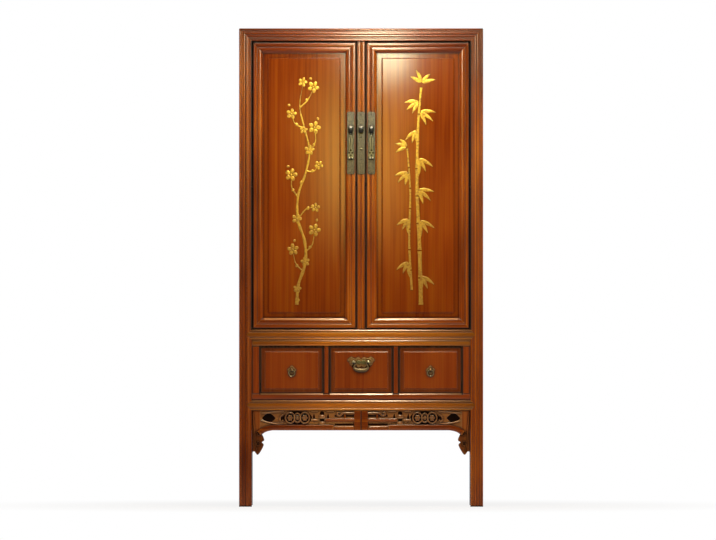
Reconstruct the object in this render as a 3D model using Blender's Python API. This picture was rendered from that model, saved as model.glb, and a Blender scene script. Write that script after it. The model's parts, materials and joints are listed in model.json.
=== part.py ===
"""A Chinese wedding cabinet: a square-cornered cabinet with two doors, a removable centre post,
three drawers, a carved apron and brass fittings. Metres, +Z up, the front faces -Y."""

import math

import bmesh
import bpy
from mathutils import Matrix, Vector

# Overall size, measured over the posts
WIDTH = 1.000
DEPTH = 0.500
HEIGHT = 1.960
FRAME = 0.052  # side of the square posts and top rails

# Clearance between pieces that touch, and how far a cutter runs past what it cuts
FIT = 0.0003
OVERRUN = 0.002
MERGE = 1e-6
FLAT_ANGLE = math.radians(0.05)  # faces nearer to level than this are one face

# Rails and apron, heights from the floor
APRON_BOTTOM = 0.313
LOWER_RAIL_BOTTOM = 0.395
LOWER_RAIL = 0.041
MIDDLE_RAIL = 0.041
SHOULDER = 0.010  # front layer of a rail that runs to a point over the post
TENON = 0.022
TENON_THICK = 0.012
TENON_HEIGHT = 0.024

# Mouldings
MOULD_RISE = 0.0025
EDGE_BEAD = 0.008
CENTRE_BEAD = 0.010
BAND_MARGIN = 0.002
BAND_CREST = 0.0006
ARC_STEPS = 6
EYE_STEPS = 12
ROUND_SIDES = 16
SHARP_ANGLE = math.radians(40)

# Boards
SIDE_RECESS = 0.014
BACK_RECESS = 0.010
BOARD = 0.010  # side and back panels
BOARD_TONGUE = 0.008
SIDE_APRON_DEPTH = 0.040
SIDE_APRON_SETBACK = 0.005
SIDE_APRON_THICK = 0.020
BACK_RAIL_DEPTH = 0.030
BACK_MIDDLE_RAIL_DEPTH = 0.026
SIDE_TENON_INSET = 0.0045
SIDE_TENON_THICK = 0.007
LOWER_TENON_INSET = 0.012
LOWER_TENON_HEIGHT = 0.060
TOP_BOARD = 0.016
TOP_BOARD_DROP = 0.003
TOP_TONGUE = 0.006
TOP_TONGUE_DROP = 0.008  # from the top of the board to the top of its tongue

# Shelf and floors
SHELF_TOP = 1.330
SHELF = 0.018
SHELF_CLEARANCE = 0.006  # behind the closed doors
SHELF_EAR = 0.010
SHELF_EAR_WIDTH = 0.010
FLOOR = 0.016
FLOOR_STOP = 0.006  # how far the compartment floor stands above the middle rail
FLOOR_TONGUE = 0.005
FLOOR_TONGUE_RISE = 0.002
FLOOR_TONGUE_REACH = 0.006

# Drawer face frame
FACE_SETBACK = 0.003
FACE_DEPTH = 0.028
FACE_RAIL = 0.028
FACE_STILE = 0.034
FACE_CROWN = 0.004
DIVIDER = 0.025
PARTITION = 0.014
GUIDE_WIDTH = 0.018
GUIDE_HEIGHT = 0.040
DRAWER_OPENING = 0.192

# Drawers
DRAWER_GAP = 0.0015
DRAWER_TOP_GAP = 0.002
DRAWER_SETBACK = 0.008
DRAWER_FRONT = 0.020
DRAWER_LENGTH = 0.400
DRAWER_HEIGHT = 0.150
DRAWER_WALL = 0.011
DRAWER_BOTTOM = 0.008
DRAWER_BOX_MARGIN = 0.001
DRAWER_FIELD_MARGIN = 0.018
DRAWER_FIELD_RISE = 0.003

# Doors
DOOR_SETBACK = 0.004
DOOR_THICK = 0.026
DOOR_MEMBER = 0.044
DOOR_SIDE_GAP = 0.002
DOOR_TOP_GAP = 0.005
DOOR_BOTTOM_GAP = 0.004
DOOR_OUTER_RIB = 0.020
DOOR_INNER_RIB = 0.017
DOOR_BEVEL_DEPTH = 0.009
DOOR_PANEL_DEPTH = 0.011  # from the door's face to the border of its panel
DOOR_PANEL = 0.008
DOOR_PANEL_TONGUE = 0.007
DOOR_PANEL_SLACK = 0.001  # room in the grooves for the panel to swell
FIELD_MARGIN = 0.020
FIELD_SLOPE = 0.004
FIELD_RISE = 0.004
PIVOT_RADIUS = 0.007
PIVOT_REACH = 0.012
PIVOT_CLEARANCE = 0.0004
PIVOT_LIFT = 0.006  # room above the upper pivot, to lift the door in
PIVOT_SIDES = 24

# Removable centre post
MULLION = 0.036
MULLION_SETBACK = 0.0065
MULLION_GAP = 0.0025
MULLION_HOUSING = 0.008
MULLION_LIFT = 0.010
MULLION_TENON = 0.008
MULLION_TENON_SIDE = 0.010

# Apron carving: pierced slots and leaf-shaped holes, placed from the middle outwards
APRON_SETBACK = 0.006
APRON_THICK = 0.020
SPANDREL = 0.034
SPANDREL_DROP = 0.100
SPANDREL_BULGE = 0.017
APRON_SLOT_START = 0.029
APRON_SLOT_LENGTH = 0.080
APRON_SLOT = 0.008
APRON_LOWER_SLOT = 0.020
APRON_UPPER_SLOT = 0.055
APRON_EYELET_SHARES = (0.11, 0.35, 0.90)  # places along the stretch from the slots to the end leaf
APRON_EYELET = 0.010
APRON_EYELET_LOW = 0.030
APRON_EYELET_HIGH = 0.070
APRON_END_LEAF = 0.058
APRON_END_MARGIN = 0.006

# Lock plates, their eyes and the pendants
LOCK_PLATE_WIDTH = 0.031
LOCK_PLATE_HEIGHT = 0.254
LOCK_PLATE_THICK = 0.002
LOCK_PLATE_CENTRE = 1.490
LOCK_PLATE_NOTCH = 0.004
EYE_CENTRE = 1.552
EYE_RADIUS = 0.012
EYE_WIDTH = 0.015
EYE_HOLE = 0.0045
LOCK_BAR_OUT = 0.010  # from the front plane of the posts out to the axis of the lock bar
STAPLE_DROP = 0.025  # from the eye's centre down to the pendant's staple
STAPLE_SPAN = 0.012
STAPLE_WIRE = 0.0015
STAPLE_OUT = 0.0060
PENDANT_LENGTH = 0.106
PENDANT_THICK = 0.0024
PENDANT_EYELET = 0.0042
PENDANT_EYELET_WIDTH = 0.006
PENDANT_BORE = 0.0019
PENDANT_NECK = 0.0032
PENDANT_SHOULDER = 0.0085
PENDANT_WAIST = 0.0045
PENDANT_FOOT = 0.0115
PENDANT_HOLE = 0.0021
PENDANT_HOLE_STEP = 0.0068

# Drawer pulls
BAIL_CENTRE = 0.591
BAIL_POST_SPACING = 0.060
BAIL_POST_RADIUS = 0.0045
BAIL_POST_OUT = 0.014
BAIL_PIN_OUT = 0.009
BAIL_PIN = 0.0022
BAIL_BORE = 0.0027
BAIL_PIN_LENGTH = 0.0105
BAIL_BEND = 0.008
BAIL_DROP = 0.040
BAIL_GRIP = 1.7  # thickness of the bail's middle over its pins
PULL_PLATE_THICK = 0.0015
BAIL_PLATE_WIDTH = 0.104
BAIL_PLATE_HEIGHT = 0.044
RING_PLATE_RADIUS = 0.0155
RING_PLATE_LOBE = 0.0025
RING_CENTRE = 0.560
RING_RADIUS = 0.0125
RING_WIRE = 0.0020
RING_EYE_RADIUS = 0.0065
RING_EYE_WIDTH = 0.006
RING_EYE_BORE = 0.0029
RING_EYE_OUT = 0.0062

# Finishes: linear base colour, roughness, metallic value
FINISHES = {
    "red_brown_lacquer": ((0.20, 0.045, 0.012), 0.28, 0.0),
    "amber_lacquer": ((0.30, 0.075, 0.010), 0.25, 0.0),
    "bare_wood": ((0.33, 0.20, 0.10), 0.60, 0.0),
    "aged_brass": ((0.32, 0.27, 0.12), 0.38, 1.0),
}

# Places worked out from the sizes above
HALF = WIDTH / 2
INNER = HALF - FRAME
HARDWARE_REACH = LOCK_BAR_OUT + EYE_RADIUS
FRONT = -(DEPTH - HARDWARE_REACH) / 2
BACK = FRONT + DEPTH
TOP_RAIL_BOTTOM = HEIGHT - FRAME
LOWER_RAIL_TOP = LOWER_RAIL_BOTTOM + LOWER_RAIL
FACE_BOTTOM = LOWER_RAIL_TOP + FIT
DRAWER_FLOOR_TOP = FACE_BOTTOM + FACE_RAIL
DRAWER_OPENING_TOP = DRAWER_FLOOR_TOP + DRAWER_OPENING
MIDDLE_RAIL_BOTTOM = DRAWER_OPENING_TOP + FACE_RAIL + FIT
MIDDLE_RAIL_TOP = MIDDLE_RAIL_BOTTOM + MIDDLE_RAIL
COMPARTMENT_FLOOR_TOP = MIDDLE_RAIL_TOP + FLOOR_STOP
COMPARTMENT_FLOOR_BOTTOM = COMPARTMENT_FLOOR_TOP - FLOOR
LEDGE = DRAWER_FLOOR_TOP - FLOOR - FIT  # top of the lower side and back rails
RAIL_DEPTH = DOOR_SETBACK + DOOR_THICK
BOARD_INSIDE = HALF - SIDE_RECESS - BOARD - FIT
BACK_BOARD_FRONT = DEPTH - BACK_RECESS - BOARD
DOOR_BOTTOM = MIDDLE_RAIL_TOP + DOOR_BOTTOM_GAP
DOOR_TOP = TOP_RAIL_BOTTOM - DOOR_TOP_GAP
DOOR_OUTER = INNER - DOOR_SIDE_GAP
DOOR_LOCK_EDGE = MULLION / 2 + MULLION_GAP
PIVOT_X = DOOR_OUTER - DOOR_THICK / 2
PIVOT_Y = FRONT + DOOR_SETBACK + DOOR_THICK / 2
LOCK_STILE_CENTRE = DOOR_LOCK_EDGE + DOOR_MEMBER / 2
STAPLE_HEIGHT = EYE_CENTRE - STAPLE_DROP
DRAWER_ZONE = INNER - FIT - FACE_STILE
OPENING_WIDTH = (2 * DRAWER_ZONE - 2 * DIVIDER) / 3
DRAWER_PITCH = OPENING_WIDTH + DIVIDER
APRON_HEIGHT = LOWER_RAIL_BOTTOM - FIT - APRON_BOTTOM
APRON_HALF = INNER - SPANDREL - 2 * FIT

RIGHT, AHEAD, UP = Vector((1, 0, 0)), Vector((0, 1, 0)), Vector((0, 0, 1))
SIDES = {"left": -1, "right": 1}

for old in list(bpy.data.objects):
    bpy.data.objects.remove(old)


def new_collection(name):
    collection = bpy.data.collections.new(name)
    bpy.context.scene.collection.children.link(collection)
    return collection


PARTS = new_collection("chinese_wedding_cabinet")
CUTTERS = new_collection("cutters")


def finish(name):
    """A Principled BSDF with the finish's colour, roughness and metallic value."""
    material = bpy.data.materials.get(name)
    if material is None:
        colour, roughness, metallic = FINISHES[name]
        material = bpy.data.materials.new(name)
        material.use_nodes = True
        shader = material.node_tree.nodes["Principled BSDF"]
        shader.inputs["Base Color"].default_value = (*colour, 1)
        shader.inputs["Roughness"].default_value = roughness
        shader.inputs["Metallic"].default_value = metallic
    return material


def closed_mesh(bm):
    """Turn a bmesh into a mesh of whole flat faces that point out."""
    bmesh.ops.dissolve_degenerate(bm, dist=MERGE, edges=bm.edges)
    bmesh.ops.dissolve_limit(bm, angle_limit=FLAT_ANGLE, verts=bm.verts, edges=bm.edges)
    bmesh.ops.recalc_face_normals(bm, faces=bm.faces)
    mesh = bpy.data.meshes.new("solid")
    bm.to_mesh(mesh)
    bm.free()
    return mesh


def box(low, high):
    low, high = Vector(low), Vector(high)
    bm = bmesh.new()
    place = Matrix.Translation((low + high) / 2) @ Matrix.Diagonal((*(high - low), 1))
    bmesh.ops.create_cube(bm, size=1, matrix=place)
    return closed_mesh(bm)


def grown_box(low, high, by=FIT):
    margin = Vector((by, by, by))
    return box(Vector(low) - margin, Vector(high) + margin)


def mirrored_box(side, x_range, y_range, z_range, by=0):
    """A box given on the right, put on the given side, and grown by a clearance."""
    x0, x1 = sorted(side * x for x in x_range)
    return grown_box((x0, y_range[0], z_range[0]), (x1, y_range[1], z_range[1]), by)


def rod(start, end, radius, sides=PIVOT_SIDES):
    start, end = Vector(start), Vector(end)
    turn = UP.rotation_difference(end - start).to_matrix().to_4x4()
    bm = bmesh.new()
    bmesh.ops.create_cone(
        bm, cap_ends=True, segments=sides, radius1=radius, radius2=radius,
        depth=(end - start).length, matrix=Matrix.Translation((start + end) / 2) @ turn)
    return closed_mesh(bm)


def curve_to_mesh(curve):
    """Evaluate a curve, weld its caps and return a closed mesh."""
    holder = bpy.data.objects.new("curve", curve)
    CUTTERS.objects.link(holder)
    seen = holder.evaluated_get(bpy.context.evaluated_depsgraph_get())
    raw = bpy.data.meshes.new_from_object(seen)
    bm = bmesh.new()
    bm.from_mesh(raw)
    bmesh.ops.remove_doubles(bm, verts=bm.verts, dist=MERGE)
    bpy.data.objects.remove(holder)
    bpy.data.curves.remove(curve)
    bpy.data.meshes.remove(raw)
    return closed_mesh(bm)


def whole_caps(mesh):
    """Make each flat end of an extruded outline one face."""
    bm = bmesh.new()
    bm.from_mesh(mesh)
    for level in (min, max):
        height = level(vertex.co.z for vertex in bm.verts)
        cap = [face for face in bm.faces if all(abs(v.co.z - height) < MERGE for v in face.verts)]
        bmesh.ops.delete(bm, geom=cap, context="FACES")
        bmesh.ops.holes_fill(bm, edges=[edge for edge in bm.edges if edge.is_boundary], sides=0)
    return closed_mesh(bm)


def slab(loops, thickness):
    """A flat outline with holes, extruded about its own plane."""
    curve = bpy.data.curves.new("outline", "CURVE")
    curve.dimensions = "2D"
    curve.fill_mode = "BOTH"
    curve.extrude = thickness / 2
    for loop in loops:
        spline = curve.splines.new("POLY")
        spline.points.add(len(loop) - 1)
        for point, (across, along) in zip(spline.points, loop):
            point.co = (across, along, 0, 1)
        spline.use_cyclic_u = True
    mesh = curve_to_mesh(curve)
    return mesh if len(loops) > 1 else whole_caps(mesh)


def tube(points, radius, radii=None, closed=False):
    """A round wire along points; radii scale it from point to point."""
    curve = bpy.data.curves.new("wire", "CURVE")
    curve.dimensions = "3D"
    curve.bevel_depth = radius
    curve.bevel_resolution = 2
    curve.use_fill_caps = not closed
    spline = curve.splines.new("POLY")
    spline.points.add(len(points) - 1)
    for index, (target, source) in enumerate(zip(spline.points, points)):
        target.co = (*source, 1)
        target.radius = radii[index] if radii else 1
    spline.use_cyclic_u = closed
    return curve_to_mesh(curve)


def put(mesh, origin, across, along, through):
    """Lay a slab in the world: its two outline directions, its thickness direction and its origin."""
    place = Matrix((Vector(across), Vector(along), Vector(through))).transposed().to_4x4()
    place.translation = Vector(origin)
    mesh.transform(place)
    bm = bmesh.new()
    bm.from_mesh(mesh)
    return closed_mesh(bm)


def trim(mesh, corner, direction, inset=FIT / 2):
    """Cut off what lies past a plane through a corner, with a clearance, and close the cut."""
    normal = Vector(direction).normalized()
    bm = bmesh.new()
    bm.from_mesh(mesh)
    everything = bm.verts[:] + bm.edges[:] + bm.faces[:]
    bmesh.ops.bisect_plane(
        bm, geom=everything, dist=MERGE, plane_co=Vector(corner) - normal * inset,
        plane_no=normal, clear_outer=True)
    bmesh.ops.holes_fill(bm, edges=[edge for edge in bm.edges if edge.is_boundary], sides=0)
    return closed_mesh(bm)


def raised_panel(low, high, margin, slope, rise):
    """A board whose front face carries a raised field inside a flat border."""
    bm = bmesh.new()
    bm.from_mesh(box(low, high))
    bm.faces.ensure_lookup_table()
    front = [face for face in bm.faces if face.normal.y < -0.9]
    bmesh.ops.inset_region(bm, faces=front, thickness=margin, use_even_offset=True)
    bmesh.ops.inset_region(bm, faces=front, thickness=slope, depth=rise, use_even_offset=True)
    return closed_mesh(bm)


def middle_of(mesh):
    xs, ys, zs = zip(*(vertex.co for vertex in mesh.vertices))
    return Vector(((min(xs) + max(xs)) / 2, (min(ys) + max(ys)) / 2, (min(zs) + max(zs)) / 2))


def place_object(name, mesh, collection, parent=None):
    """An object with its origin in the middle of its mesh, carried by its parent's axis."""
    middle = middle_of(mesh)
    mesh.transform(Matrix.Translation(-middle))
    mesh.name = name
    mesh.shade_smooth()
    mesh.set_sharp_from_angle(angle=SHARP_ANGLE)
    thing = bpy.data.objects.new(name, mesh)
    collection.objects.link(thing)
    thing.location = middle
    if parent is not None:
        thing.parent = parent
        steps = parent
        while steps is not None:
            thing.location -= steps.location
            steps = steps.parent
    return thing


def piece(name, mesh, material, parent=None):
    thing = place_object(name, mesh, PARTS, parent)
    thing.data.materials.append(finish(material))
    return thing


def boolean(things, mesh, operation, name):
    """Cut a helper solid out of one or more pieces, or join it to them."""
    helper = place_object(name, mesh, CUTTERS)
    helper.hide_render = True
    helper.display_type = "WIRE"
    for thing in things:
        modifier = thing.modifiers.new(name, "BOOLEAN")
        modifier.operation = operation
        modifier.solver = "EXACT"
        modifier.object = helper


def cut(things, mesh, name):
    boolean(things, mesh, "DIFFERENCE", name)


def join(thing, mesh, name):
    boolean([thing], mesh, "UNION", name)


def axis_empty(name, place, parent=None):
    """An empty on a joint's axis, which carries the pieces that move about it."""
    empty = bpy.data.objects.new(name, None)
    empty.empty_display_size = 0.03
    PARTS.objects.link(empty)
    empty.location = Vector(place)
    if parent is not None:
        empty.parent = parent
        empty.location -= parent.location
    return empty


def arc(centre, radius, start, end, steps):
    """Points on a circle between two angles in degrees."""
    angles = [math.radians(start + (end - start) * i / steps) for i in range(steps + 1)]
    return [(centre[0] + radius * math.cos(a), centre[1] + radius * math.sin(a)) for a in angles]


def rib(start, end, base=MOULD_RISE, crest=0.0):
    """A rounded rib across a face: half an ellipse from its base depth up to its crest and back."""
    middle, half = (start + end) / 2, (end - start) / 2
    angles = [math.pi * i / ARC_STEPS for i in range(ARC_STEPS + 1)]
    return [(middle - half * math.cos(a), base - (base - crest) * math.sin(a)) for a in angles]


def run(*stretches):
    """Join stretches of an outline, leaving out points that repeat."""
    points = []
    for point in (point for stretch in stretches for point in stretch):
        if not points or math.dist(points[-1], point) > MERGE:
            points.append(point)
    if math.dist(points[0], points[-1]) < MERGE:
        points.pop()
    return points


def swapped(points):
    return [(second, first) for first, second in points]


def smooth(points, steps=4):
    """A smooth open curve through hand-set points (Catmull-Rom)."""
    ends = [points[0], *points, points[-1]]
    curve = []
    for p0, p1, p2, p3 in zip(ends, ends[1:], ends[2:], ends[3:]):
        for i in range(steps):
            t = i / steps
            weights = (-t + 2 * t * t - t ** 3, 2 - 5 * t * t + 3 * t ** 3,
                       t + 4 * t * t - 3 * t ** 3, t ** 3 - t * t)
            curve.append(tuple(
                sum(w * p[k] for w, p in zip(weights, (p0, p1, p2, p3))) / 2 for k in (0, 1)))
    return [*curve, points[-1]]


def centre_beads(width):
    middle = width / 2
    return run(rib(middle - CENTRE_BEAD, middle), rib(middle, middle + CENTRE_BEAD))


def corner_bead(start, end):
    """Points on the round bead of an outer corner, between two angles in degrees."""
    radius = EDGE_BEAD / 2
    return arc((radius, radius), radius, start, end, 2 * ARC_STEPS)


def bead_lip():
    """Angle, below the level, where the corner bead meets the ground of the moulding."""
    radius = EDGE_BEAD / 2
    return math.degrees(math.asin((radius - MOULD_RISE) / radius))


def front_post_outline():
    far = rib(FRAME - EDGE_BEAD, FRAME)
    lip = bead_lip()
    return run(far[::-1], centre_beads(FRAME)[::-1], corner_bead(-lip, lip - 270),
               swapped(centre_beads(FRAME)), swapped(far), [(FRAME, FRAME)])


def back_post_outline():
    near, far = rib(0, EDGE_BEAD), rib(FRAME - EDGE_BEAD, FRAME)
    return run([(FRAME, 0)], swapped(near), swapped(centre_beads(FRAME)), swapped(far),
               [(FRAME, FRAME)])


def top_rail_outline():
    return run(corner_bead(-180, -bead_lip()), centre_beads(FRAME), rib(FRAME - EDGE_BEAD, FRAME),
               [(FRAME, FRAME), (0, FRAME)])


def rail_face(height):
    """Bead, flat cushion, bead."""
    edge = EDGE_BEAD + BAND_MARGIN
    return run(rib(0, EDGE_BEAD), rib(edge, height - edge, crest=BAND_CREST),
               rib(height - EDGE_BEAD, height))


def rail_outline(height, depth):
    return run(rail_face(height), [(height, depth), (0, depth)])


def make_posts():
    posts = {}
    for side_name, side in SIDES.items():
        for end_name in ("front", "back"):
            front = end_name == "front"
            outline = front_post_outline() if front else back_post_outline()
            near = FRONT if front else BACK - FRAME
            inward = 1 if front else -1
            corner = (side * HALF, FRONT if front else BACK, HEIGHT)
            mesh = put(slab([outline], HEIGHT), (side * HALF, near, HEIGHT / 2),
                       -side * RIGHT, AHEAD, UP)
            mesh = trim(mesh, corner, (-side, 0, 1))
            mesh = trim(mesh, corner, (0, inward, 1))
            name = f"post_{end_name}_{side_name}"
            posts[end_name, side] = piece(name, mesh, "red_brown_lacquer")
    return posts


def make_top_rails():
    """Front, back and side rails of the top, mitred three ways with the posts."""
    rails = {}
    plain = [(0, 0), (FRAME, 0), (FRAME, FRAME), (0, FRAME)]
    for end_name, outer, inward in (("front", FRONT, 1), ("back", BACK, -1)):
        outline = top_rail_outline() if end_name == "front" else plain
        mesh = put(slab([outline], WIDTH), (0, outer, HEIGHT), -UP, inward * AHEAD, RIGHT)
        for side in SIDES.values():
            corner = (side * HALF, outer, HEIGHT)
            mesh = trim(mesh, corner, (side, 0, -1))
            mesh = trim(mesh, corner, (side, inward, 0))
        rails[end_name] = piece(f"top_rail_{end_name}", mesh, "red_brown_lacquer")
    for side_name, side in SIDES.items():
        middle = (side * HALF, (FRONT + BACK) / 2, HEIGHT)
        mesh = put(slab([top_rail_outline()], DEPTH), middle, -UP, -side * RIGHT, AHEAD)
        for outer, inward in ((FRONT, 1), (BACK, -1)):
            corner = (side * HALF, outer, HEIGHT)
            mesh = trim(mesh, corner, (-side, -inward, 0))
            mesh = trim(mesh, corner, (0, -inward, -1))
        rails[side_name] = piece(f"top_rail_{side_name}", mesh, "red_brown_lacquer")
    return rails


def make_top_panel(rails):
    """A board that lies just below the top of the rails, held by a tongue on all four sides."""
    top = HEIGHT - TOP_BOARD_DROP
    inside = (INNER - FIT, FRONT + FRAME + FIT, BACK - FRAME - FIT)
    board = box((-inside[0], inside[1], top - TOP_BOARD), (inside[0], inside[2], top))
    panel = piece("top_panel", board, "red_brown_lacquer")
    tongue_top = top - TOP_TONGUE_DROP
    reach = BOARD_TONGUE
    low = (-INNER - reach, FRONT + FRAME - reach, tongue_top - TOP_TONGUE)
    high = (INNER + reach, BACK - FRAME + reach, tongue_top)
    join(panel, box(low, high), "top_panel_tongue")
    cut(rails.values(), grown_box(low, high), "top_panel_groove")


def pointed_rail(name, bottom, height, posts):
    """A front rail: its moulded front layer runs to a point over each post, a tenon holds it."""
    tip = height / 2
    middle = bottom + tip
    reach = INNER + tip
    outline = rail_outline(height, RAIL_DEPTH)
    mesh = put(slab([outline], 2 * reach), (0, FRONT, bottom), UP, AHEAD, RIGHT)
    for side in SIDES.values():
        for up in (-1, 1):
            mesh = trim(mesh, (side * reach, FRONT, middle), (side, 0, up), inset=FIT)
    rail = piece(name, mesh, "red_brown_lacquer")
    depths = (FRONT + SHOULDER, FRONT + RAIL_DEPTH + OVERRUN)
    heights = (bottom - OVERRUN, bottom + height + OVERRUN)
    tenon_y = (FRONT + SHOULDER + OVERRUN, FRONT + SHOULDER + OVERRUN + TENON_THICK)
    tenon_z = (middle - TENON_HEIGHT / 2, middle + TENON_HEIGHT / 2)
    for side_name, side in SIDES.items():
        shoulder = mirrored_box(side, (INNER - FIT, reach + OVERRUN), depths, heights)
        cut([rail], shoulder, f"{name}_shoulder_{side_name}")
        tenon_x = (INNER - TENON, INNER + TENON)
        join(rail, mirrored_box(side, tenon_x, tenon_y, tenon_z), f"{name}_tenon_{side_name}")
        post = [posts["front", side]]
        cut(post, mirrored_box(side, (INNER - OVERRUN, INNER + TENON), tenon_y, tenon_z, FIT),
            f"{name}_mortise_{side_name}")
        wedge = [(-OVERRUN, -tip - OVERRUN), (tip, 0), (-OVERRUN, tip + OVERRUN)]
        notch_depth = SHOULDER + FIT + OVERRUN
        notch_y = FRONT - OVERRUN + notch_depth / 2
        notch = put(slab([wedge], notch_depth), (side * INNER, notch_y, middle), side * RIGHT, UP, AHEAD)
        cut(post, notch, f"{name}_notch_{side_name}")
    return rail


def tenoned(rail, name, side, posts, ranges_by_post):
    """Tenons on a square-shouldered rail and their mortises in the posts."""
    for end_name, ranges in ranges_by_post.items():
        join(rail, mirrored_box(side, *ranges), f"{name}_tenon_{end_name}")
        cut([posts[end_name, side]], mirrored_box(side, *ranges, FIT), f"{name}_mortise_{end_name}")


def make_side_rails(posts):
    """Side middle rails lie outside the side boards; the lower ones carry their apron in one piece."""
    length = DEPTH - 2 * FRAME - 2 * FIT
    middle_y = (FRONT + BACK) / 2
    front_end = (FRONT + FRAME - TENON, FRONT + FRAME + TENON)
    back_end = (BACK - FRAME - TENON, BACK - FRAME + TENON)
    lower_rails = {}
    for side_name, side in SIDES.items():
        outline = rail_outline(MIDDLE_RAIL, SIDE_RECESS - FIT)
        mesh = put(slab([outline], length), (side * HALF, middle_y, MIDDLE_RAIL_BOTTOM),
                   UP, -side * RIGHT, AHEAD)
        name = f"middle_rail_{side_name}"
        rail = piece(name, mesh, "red_brown_lacquer")
        x_range = (HALF - SIDE_TENON_INSET - SIDE_TENON_THICK, HALF - SIDE_TENON_INSET)
        middle_z = MIDDLE_RAIL_BOTTOM + MIDDLE_RAIL / 2
        z_range = (middle_z - TENON_HEIGHT / 2, middle_z + TENON_HEIGHT / 2)
        tenoned(rail, name, side, posts,
                {"front": (x_range, front_end, z_range), "back": (x_range, back_end, z_range)})

        drop = LOWER_RAIL_BOTTOM - APRON_BOTTOM
        face = [(drop + a, d) for a, d in rail_face(LEDGE - LOWER_RAIL_BOTTOM)]
        apron_back = SIDE_APRON_SETBACK + SIDE_APRON_THICK
        outline = run([(0, SIDE_APRON_SETBACK), (drop, SIDE_APRON_SETBACK)], face,
                      [(LEDGE - APRON_BOTTOM, SIDE_APRON_DEPTH), (drop, SIDE_APRON_DEPTH),
                       (drop, apron_back), (0, apron_back)])
        mesh = put(slab([outline], length), (side * HALF, middle_y, APRON_BOTTOM),
                   UP, -side * RIGHT, AHEAD)
        name = f"lower_rail_{side_name}"
        rail = piece(name, mesh, "red_brown_lacquer")
        x_range = (HALF - LOWER_TENON_INSET - SIDE_TENON_THICK, HALF - LOWER_TENON_INSET)
        z_range = (APRON_BOTTOM + OVERRUN, APRON_BOTTOM + OVERRUN + LOWER_TENON_HEIGHT)
        tenoned(rail, name, side, posts,
                {"front": (x_range, front_end, z_range), "back": (x_range, back_end, z_range)})
        lower_rails[side] = rail
    return lower_rails


def make_back_rails(posts):
    """Two plain back rails: one below the compartment floor, one at the bottom, deep like an apron."""
    half_length = INNER - FIT
    board_front = FRONT + BACK_BOARD_FRONT - FIT
    middle_y = (board_front - BACK_MIDDLE_RAIL_DEPTH, board_front)
    lower_y = (BACK - BACK_RAIL_DEPTH, BACK)
    stretches = {
        "middle_rail_back": (middle_y, (MIDDLE_RAIL_BOTTOM, COMPARTMENT_FLOOR_BOTTOM - FIT)),
        "lower_rail_back": (lower_y, (APRON_BOTTOM, LEDGE)),
    }
    rails = {}
    for name, (y_range, z_range) in stretches.items():
        mesh = box((-half_length, y_range[0], z_range[0]), (half_length, y_range[1], z_range[1]))
        rail = piece(name, mesh, "red_brown_lacquer")
        tenon_y = (sum(y_range) / 2 - TENON_THICK / 2, sum(y_range) / 2 + TENON_THICK / 2)
        tenon_z = (z_range[0] + OVERRUN, z_range[0] + OVERRUN + TENON_HEIGHT)
        for side_name, side in SIDES.items():
            ranges = ((INNER - TENON, INNER + TENON), tenon_y, tenon_z)
            tenoned(rail, f"{name}_{side_name}", side, posts, {"back": ranges})
        rails[name] = rail
    return rails


def make_panels(posts, top_rails, lower_rails, back_rails):
    """Side and back boards that float in grooves of the posts and rails."""
    low_z, high_z = LEDGE - BOARD_TONGUE, TOP_RAIL_BOTTOM + BOARD_TONGUE
    for side_name, side in SIDES.items():
        ranges = ((HALF - SIDE_RECESS - BOARD, HALF - SIDE_RECESS),
                  (FRONT + FRAME - BOARD_TONGUE, BACK - FRAME + BOARD_TONGUE), (low_z, high_z))
        piece(f"side_panel_{side_name}", mirrored_box(side, *ranges), "red_brown_lacquer")
        hosts = [posts["front", side], posts["back", side], top_rails[side_name], lower_rails[side]]
        cut(hosts, mirrored_box(side, *ranges, FIT), f"side_panel_groove_{side_name}")
    low = (-INNER - BOARD_TONGUE, FRONT + BACK_BOARD_FRONT, low_z)
    high = (INNER + BOARD_TONGUE, FRONT + BACK_BOARD_FRONT + BOARD, high_z)
    piece("back_panel", box(low, high), "bare_wood")
    hosts = [posts["back", -1], posts["back", 1], top_rails["back"], back_rails["lower_rail_back"]]
    cut(hosts, grown_box(low, high), "back_panel_groove")


def notched_outline(front, ears=()):
    """A board between the side boards, notched round the posts; ears reach into the posts."""
    right = []

    def walk(depth_from, depth_to, width):
        right.extend([(width, FRONT + depth_from), (width, FRONT + depth_to)])

    narrow, wide, ear_width = INNER - FIT, BOARD_INSIDE, INNER + SHELF_EAR
    stops = [(front, FRAME + FIT, narrow), (FRAME + FIT, DEPTH - FRAME - FIT, wide),
             (DEPTH - FRAME - FIT, BACK_BOARD_FRONT - FIT, narrow)]
    for start, end, width in stops:
        inside = [ear for ear in ears if start <= ear and ear + SHELF_EAR_WIDTH <= end]
        for ear in inside if width == narrow else []:
            walk(start, ear, width)
            walk(ear, ear + SHELF_EAR_WIDTH, ear_width)
            start = ear + SHELF_EAR_WIDTH
        walk(start, end, width)
    return run(right, [(-x, y) for x, y in right[::-1]])


def make_floors(middle_rail, face_bottom):
    """The compartment floor, which also stops the doors, and the floor that the drawers run on."""
    floors = (
        ("compartment_floor", RAIL_DEPTH, COMPARTMENT_FLOOR_TOP, middle_rail),
        ("drawer_floor", FACE_SETBACK + FACE_DEPTH, DRAWER_FLOOR_TOP, face_bottom),
    )
    for name, rail_back, top, host in floors:
        front = rail_back + FIT
        mesh = put(slab([notched_outline(front)], FLOOR), (0, 0, top - FLOOR / 2), RIGHT, AHEAD, UP)
        floor = piece(name, mesh, "bare_wood")
        low_z = top - FLOOR + FLOOR_TONGUE_RISE
        half = INNER - FRAME
        low = (-half, FRONT + rail_back - FLOOR_TONGUE_REACH, low_z)
        high = (half, FRONT + rail_back + FLOOR_TONGUE_REACH, low_z + FLOOR_TONGUE)
        join(floor, box(low, high), f"{name}_tongue")
        cut([host], grown_box(low, high), f"{name}_groove")


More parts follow.
